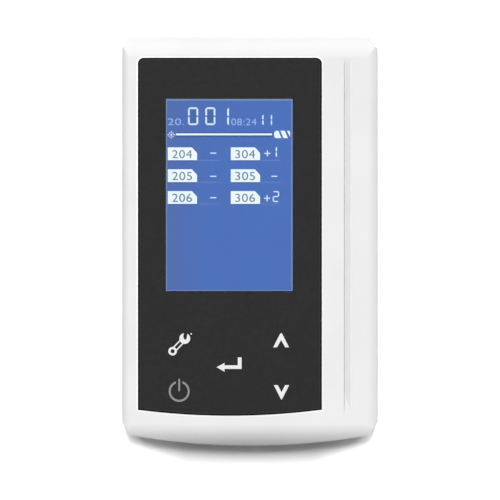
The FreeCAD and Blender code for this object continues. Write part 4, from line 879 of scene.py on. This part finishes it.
def display_content():
    """The lit field with its bright edge, and the bars, tags and numbers on it."""
    glass_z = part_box("display_glass")[1].z
    levels = [glass_z + step * LAYER for step in range(LAYERS + 1)]
    places = [(x, y) for x in TAG_COLUMNS for y in TAG_ROWS]
    shades = [moved(TAG_OUTLINE, x + TAG_SHADE_SHIFT, y + TAG_SHADE_SHIFT) for x, y in places]
    ghosts = [moved(rectangle(*GHOST), x, 0.0) for x in GHOST_LEFTS]
    lines = [moved(rectangle((TAG_LINE_START, TAG_LINE_TOP), (TAG_LINE_START + length, TAG_LINE_FOOT)), x, y)
             for x, length in zip(TAG_COLUMNS, TAG_LINE_LENGTHS) for y in TAG_ROWS]
    tags = [moved(TAG_OUTLINE, x, y) for x, y in places]
    bars = [bar for sizes in DIGITS for bar in digit(*sizes)]
    bars += [bar for sizes in ONES for bar in one(*sizes)]
    bars += [minus(x, y) for x, y in MINUS_PLACES] + [plus(x, y) for x, y in PLUS_PLACES]
    marks = [
        ("lcd_field", [rectangle(*FIELD)], LCD_BLUE, 0),
        ("lcd_edge", [rectangle(*FIELD), rectangle(*FIELD_INSIDE)[::-1]], LCD_EDGE, 1),
        ("lcd_shades", shades + [rectangle(*BAR_SHADE)], LCD_SHADE, 1),
        ("lcd_ghosts", ghosts, LCD_GHOST, 1),
        ("lcd_lines", lines, LCD_FAINT, 1),
        ("lcd_tags", tags + [rectangle(*BAR)] + BAR_END + star(), LCD_TAG, 2),
        ("lcd_bars", bars, LCD_WHITE, 2),
    ]
    for name, loops, look, level in marks:
        mark(name, loops, look, levels[level], levels[level + 1])

    numerals("lcd_small_numbers", SMALL_NUMBERS, LCD_PALE, levels[2], levels[3])
    tag_numbers = [(f"{column}0{row}", *moved(TAG_NUMBER, x, y))
                   for column, x in enumerate(TAG_COLUMNS, start=2)
                   for row, y in enumerate(TAG_ROWS, start=4)]
    numerals("lcd_tag_numbers", tag_numbers, LCD_TAG_TEXT, levels[3], levels[4])


# Studio: the floor's reach, its whiteness as seen and for soft light, and the painted light added below the
# lower corners
FLOOR_REACH = 6.0
FLOOR_SEEN, FLOOR_SOFT = 1.6, (0.35, 0.35, 0.35, 1.0)
CORNER_PAINTED_LIGHT = 1.2
CORNER_BESIDE = (26 * MM, 50 * MM)
CORNER_BELOW = (-68 * MM, -73 * MM)
SURROUND_SEEN, SURROUND_SOFT = 1.0, 0.075

# Suns: name, strength, and in degrees the spread, the lean towards the upper end and the turn to the left
SUNS = (
    ("key_light_1", 0.87, 5, 6.5, 0),
    ("key_light_2", 0.77, 6, 11, 0),
    ("key_light_3", 0.2, 7, 16, 0),
    ("upper_light", 0.55, 12, 52, 0),
    ("left_light", 0.75, 30, 62, 50),
    ("right_light", 0.75, 30, 62, -50),
    ("lower_light", 0.06, 40, -60, 0),
)


def floor_white():
    """White as the camera sees it, with painted light below the two lower corners that lifts the shadow
    there, and dimmer for soft light.
    """
    material = bpy.data.materials.new("floor_white")
    tree = Tree(material)
    output = tree.nodes.new("ShaderNodeOutputMaterial")
    diffuse = tree.nodes.new("ShaderNodeBsdfDiffuse")
    x, y, _ = tree.split(tree.coordinates())
    beside = tree.ramp(tree.maths("ABSOLUTE", x), *CORNER_BESIDE, 0.0, CORNER_PAINTED_LIGHT)
    below = tree.ramp(y, *CORNER_BELOW)
    # Painted light: the floor is seen whiter below the lower corners, lifting the shadow there
    seen = tree.maths("MULTIPLY_ADD", beside, below, FLOOR_SEEN)
    tree.links.new(tree.blend(tree.seen_directly(), FLOOR_SOFT, seen), diffuse.inputs["Color"])
    tree.links.new(diffuse.outputs["BSDF"], output.inputs["Surface"])
    return material


def surround():
    """White all round as the camera sees it, and dim for soft light."""
    world = bpy.data.worlds.new("surround")
    bpy.context.scene.world = world
    tree = Tree(world)
    output = tree.nodes.new("ShaderNodeOutputWorld")
    mix = tree.nodes.new("ShaderNodeMixShader")
    tree.links.new(tree.seen_directly(), mix.inputs["Fac"])
    for place, strength in enumerate((SURROUND_SOFT, SURROUND_SEEN), start=1):
        background = tree.nodes.new("ShaderNodeBackground")
        background.inputs["Color"].default_value = WHITE
        background.inputs["Strength"].default_value = strength
        tree.links.new(background.outputs["Background"], mix.inputs[place])
    tree.links.new(mix.outputs["Shader"], output.inputs["Surface"])


def studio():
    """White floor, suns from above and from the upper corners, and a white surround."""
    mesh = bpy.data.meshes.new("floor")
    corners = rectangle((-FLOOR_REACH, -FLOOR_REACH), (FLOOR_REACH, FLOOR_REACH))
    mesh.from_pydata([(x, y, 0.0) for x, y in corners], [], [(0, 1, 2, 3)])
    floor = new_object("floor", mesh)
    floor.data.materials.append(floor_white())
    for name, strength, spread, lean, side in SUNS:
        sun = bpy.data.lights.new(name, "SUN")
        sun.energy = strength
        sun.angle = math.radians(spread)
        new_object(name, sun).rotation_euler = (math.radians(-lean), 0.0, math.radians(side))
    surround()


def camera():
    """Straight down on the face, far off, with the upper end of the case at the top."""
    data = bpy.data.cameras.new("camera")
    data.lens = LENS
    data.sensor_width = SENSOR
    data.clip_start, data.clip_end = CLIP_NEAR, CLIP_FAR
    piece = new_object("camera", data)
    piece.location = (0.0, CAMERA_Y, FACE_Z + CAMERA_DISTANCE)
    bpy.context.scene.camera = piece


dress_nodes()
front_panel()
groove_shade_sheet()
icons()
display_content()
studio()
camera()
bpy.context.scene.view_settings.view_transform = "Standard"
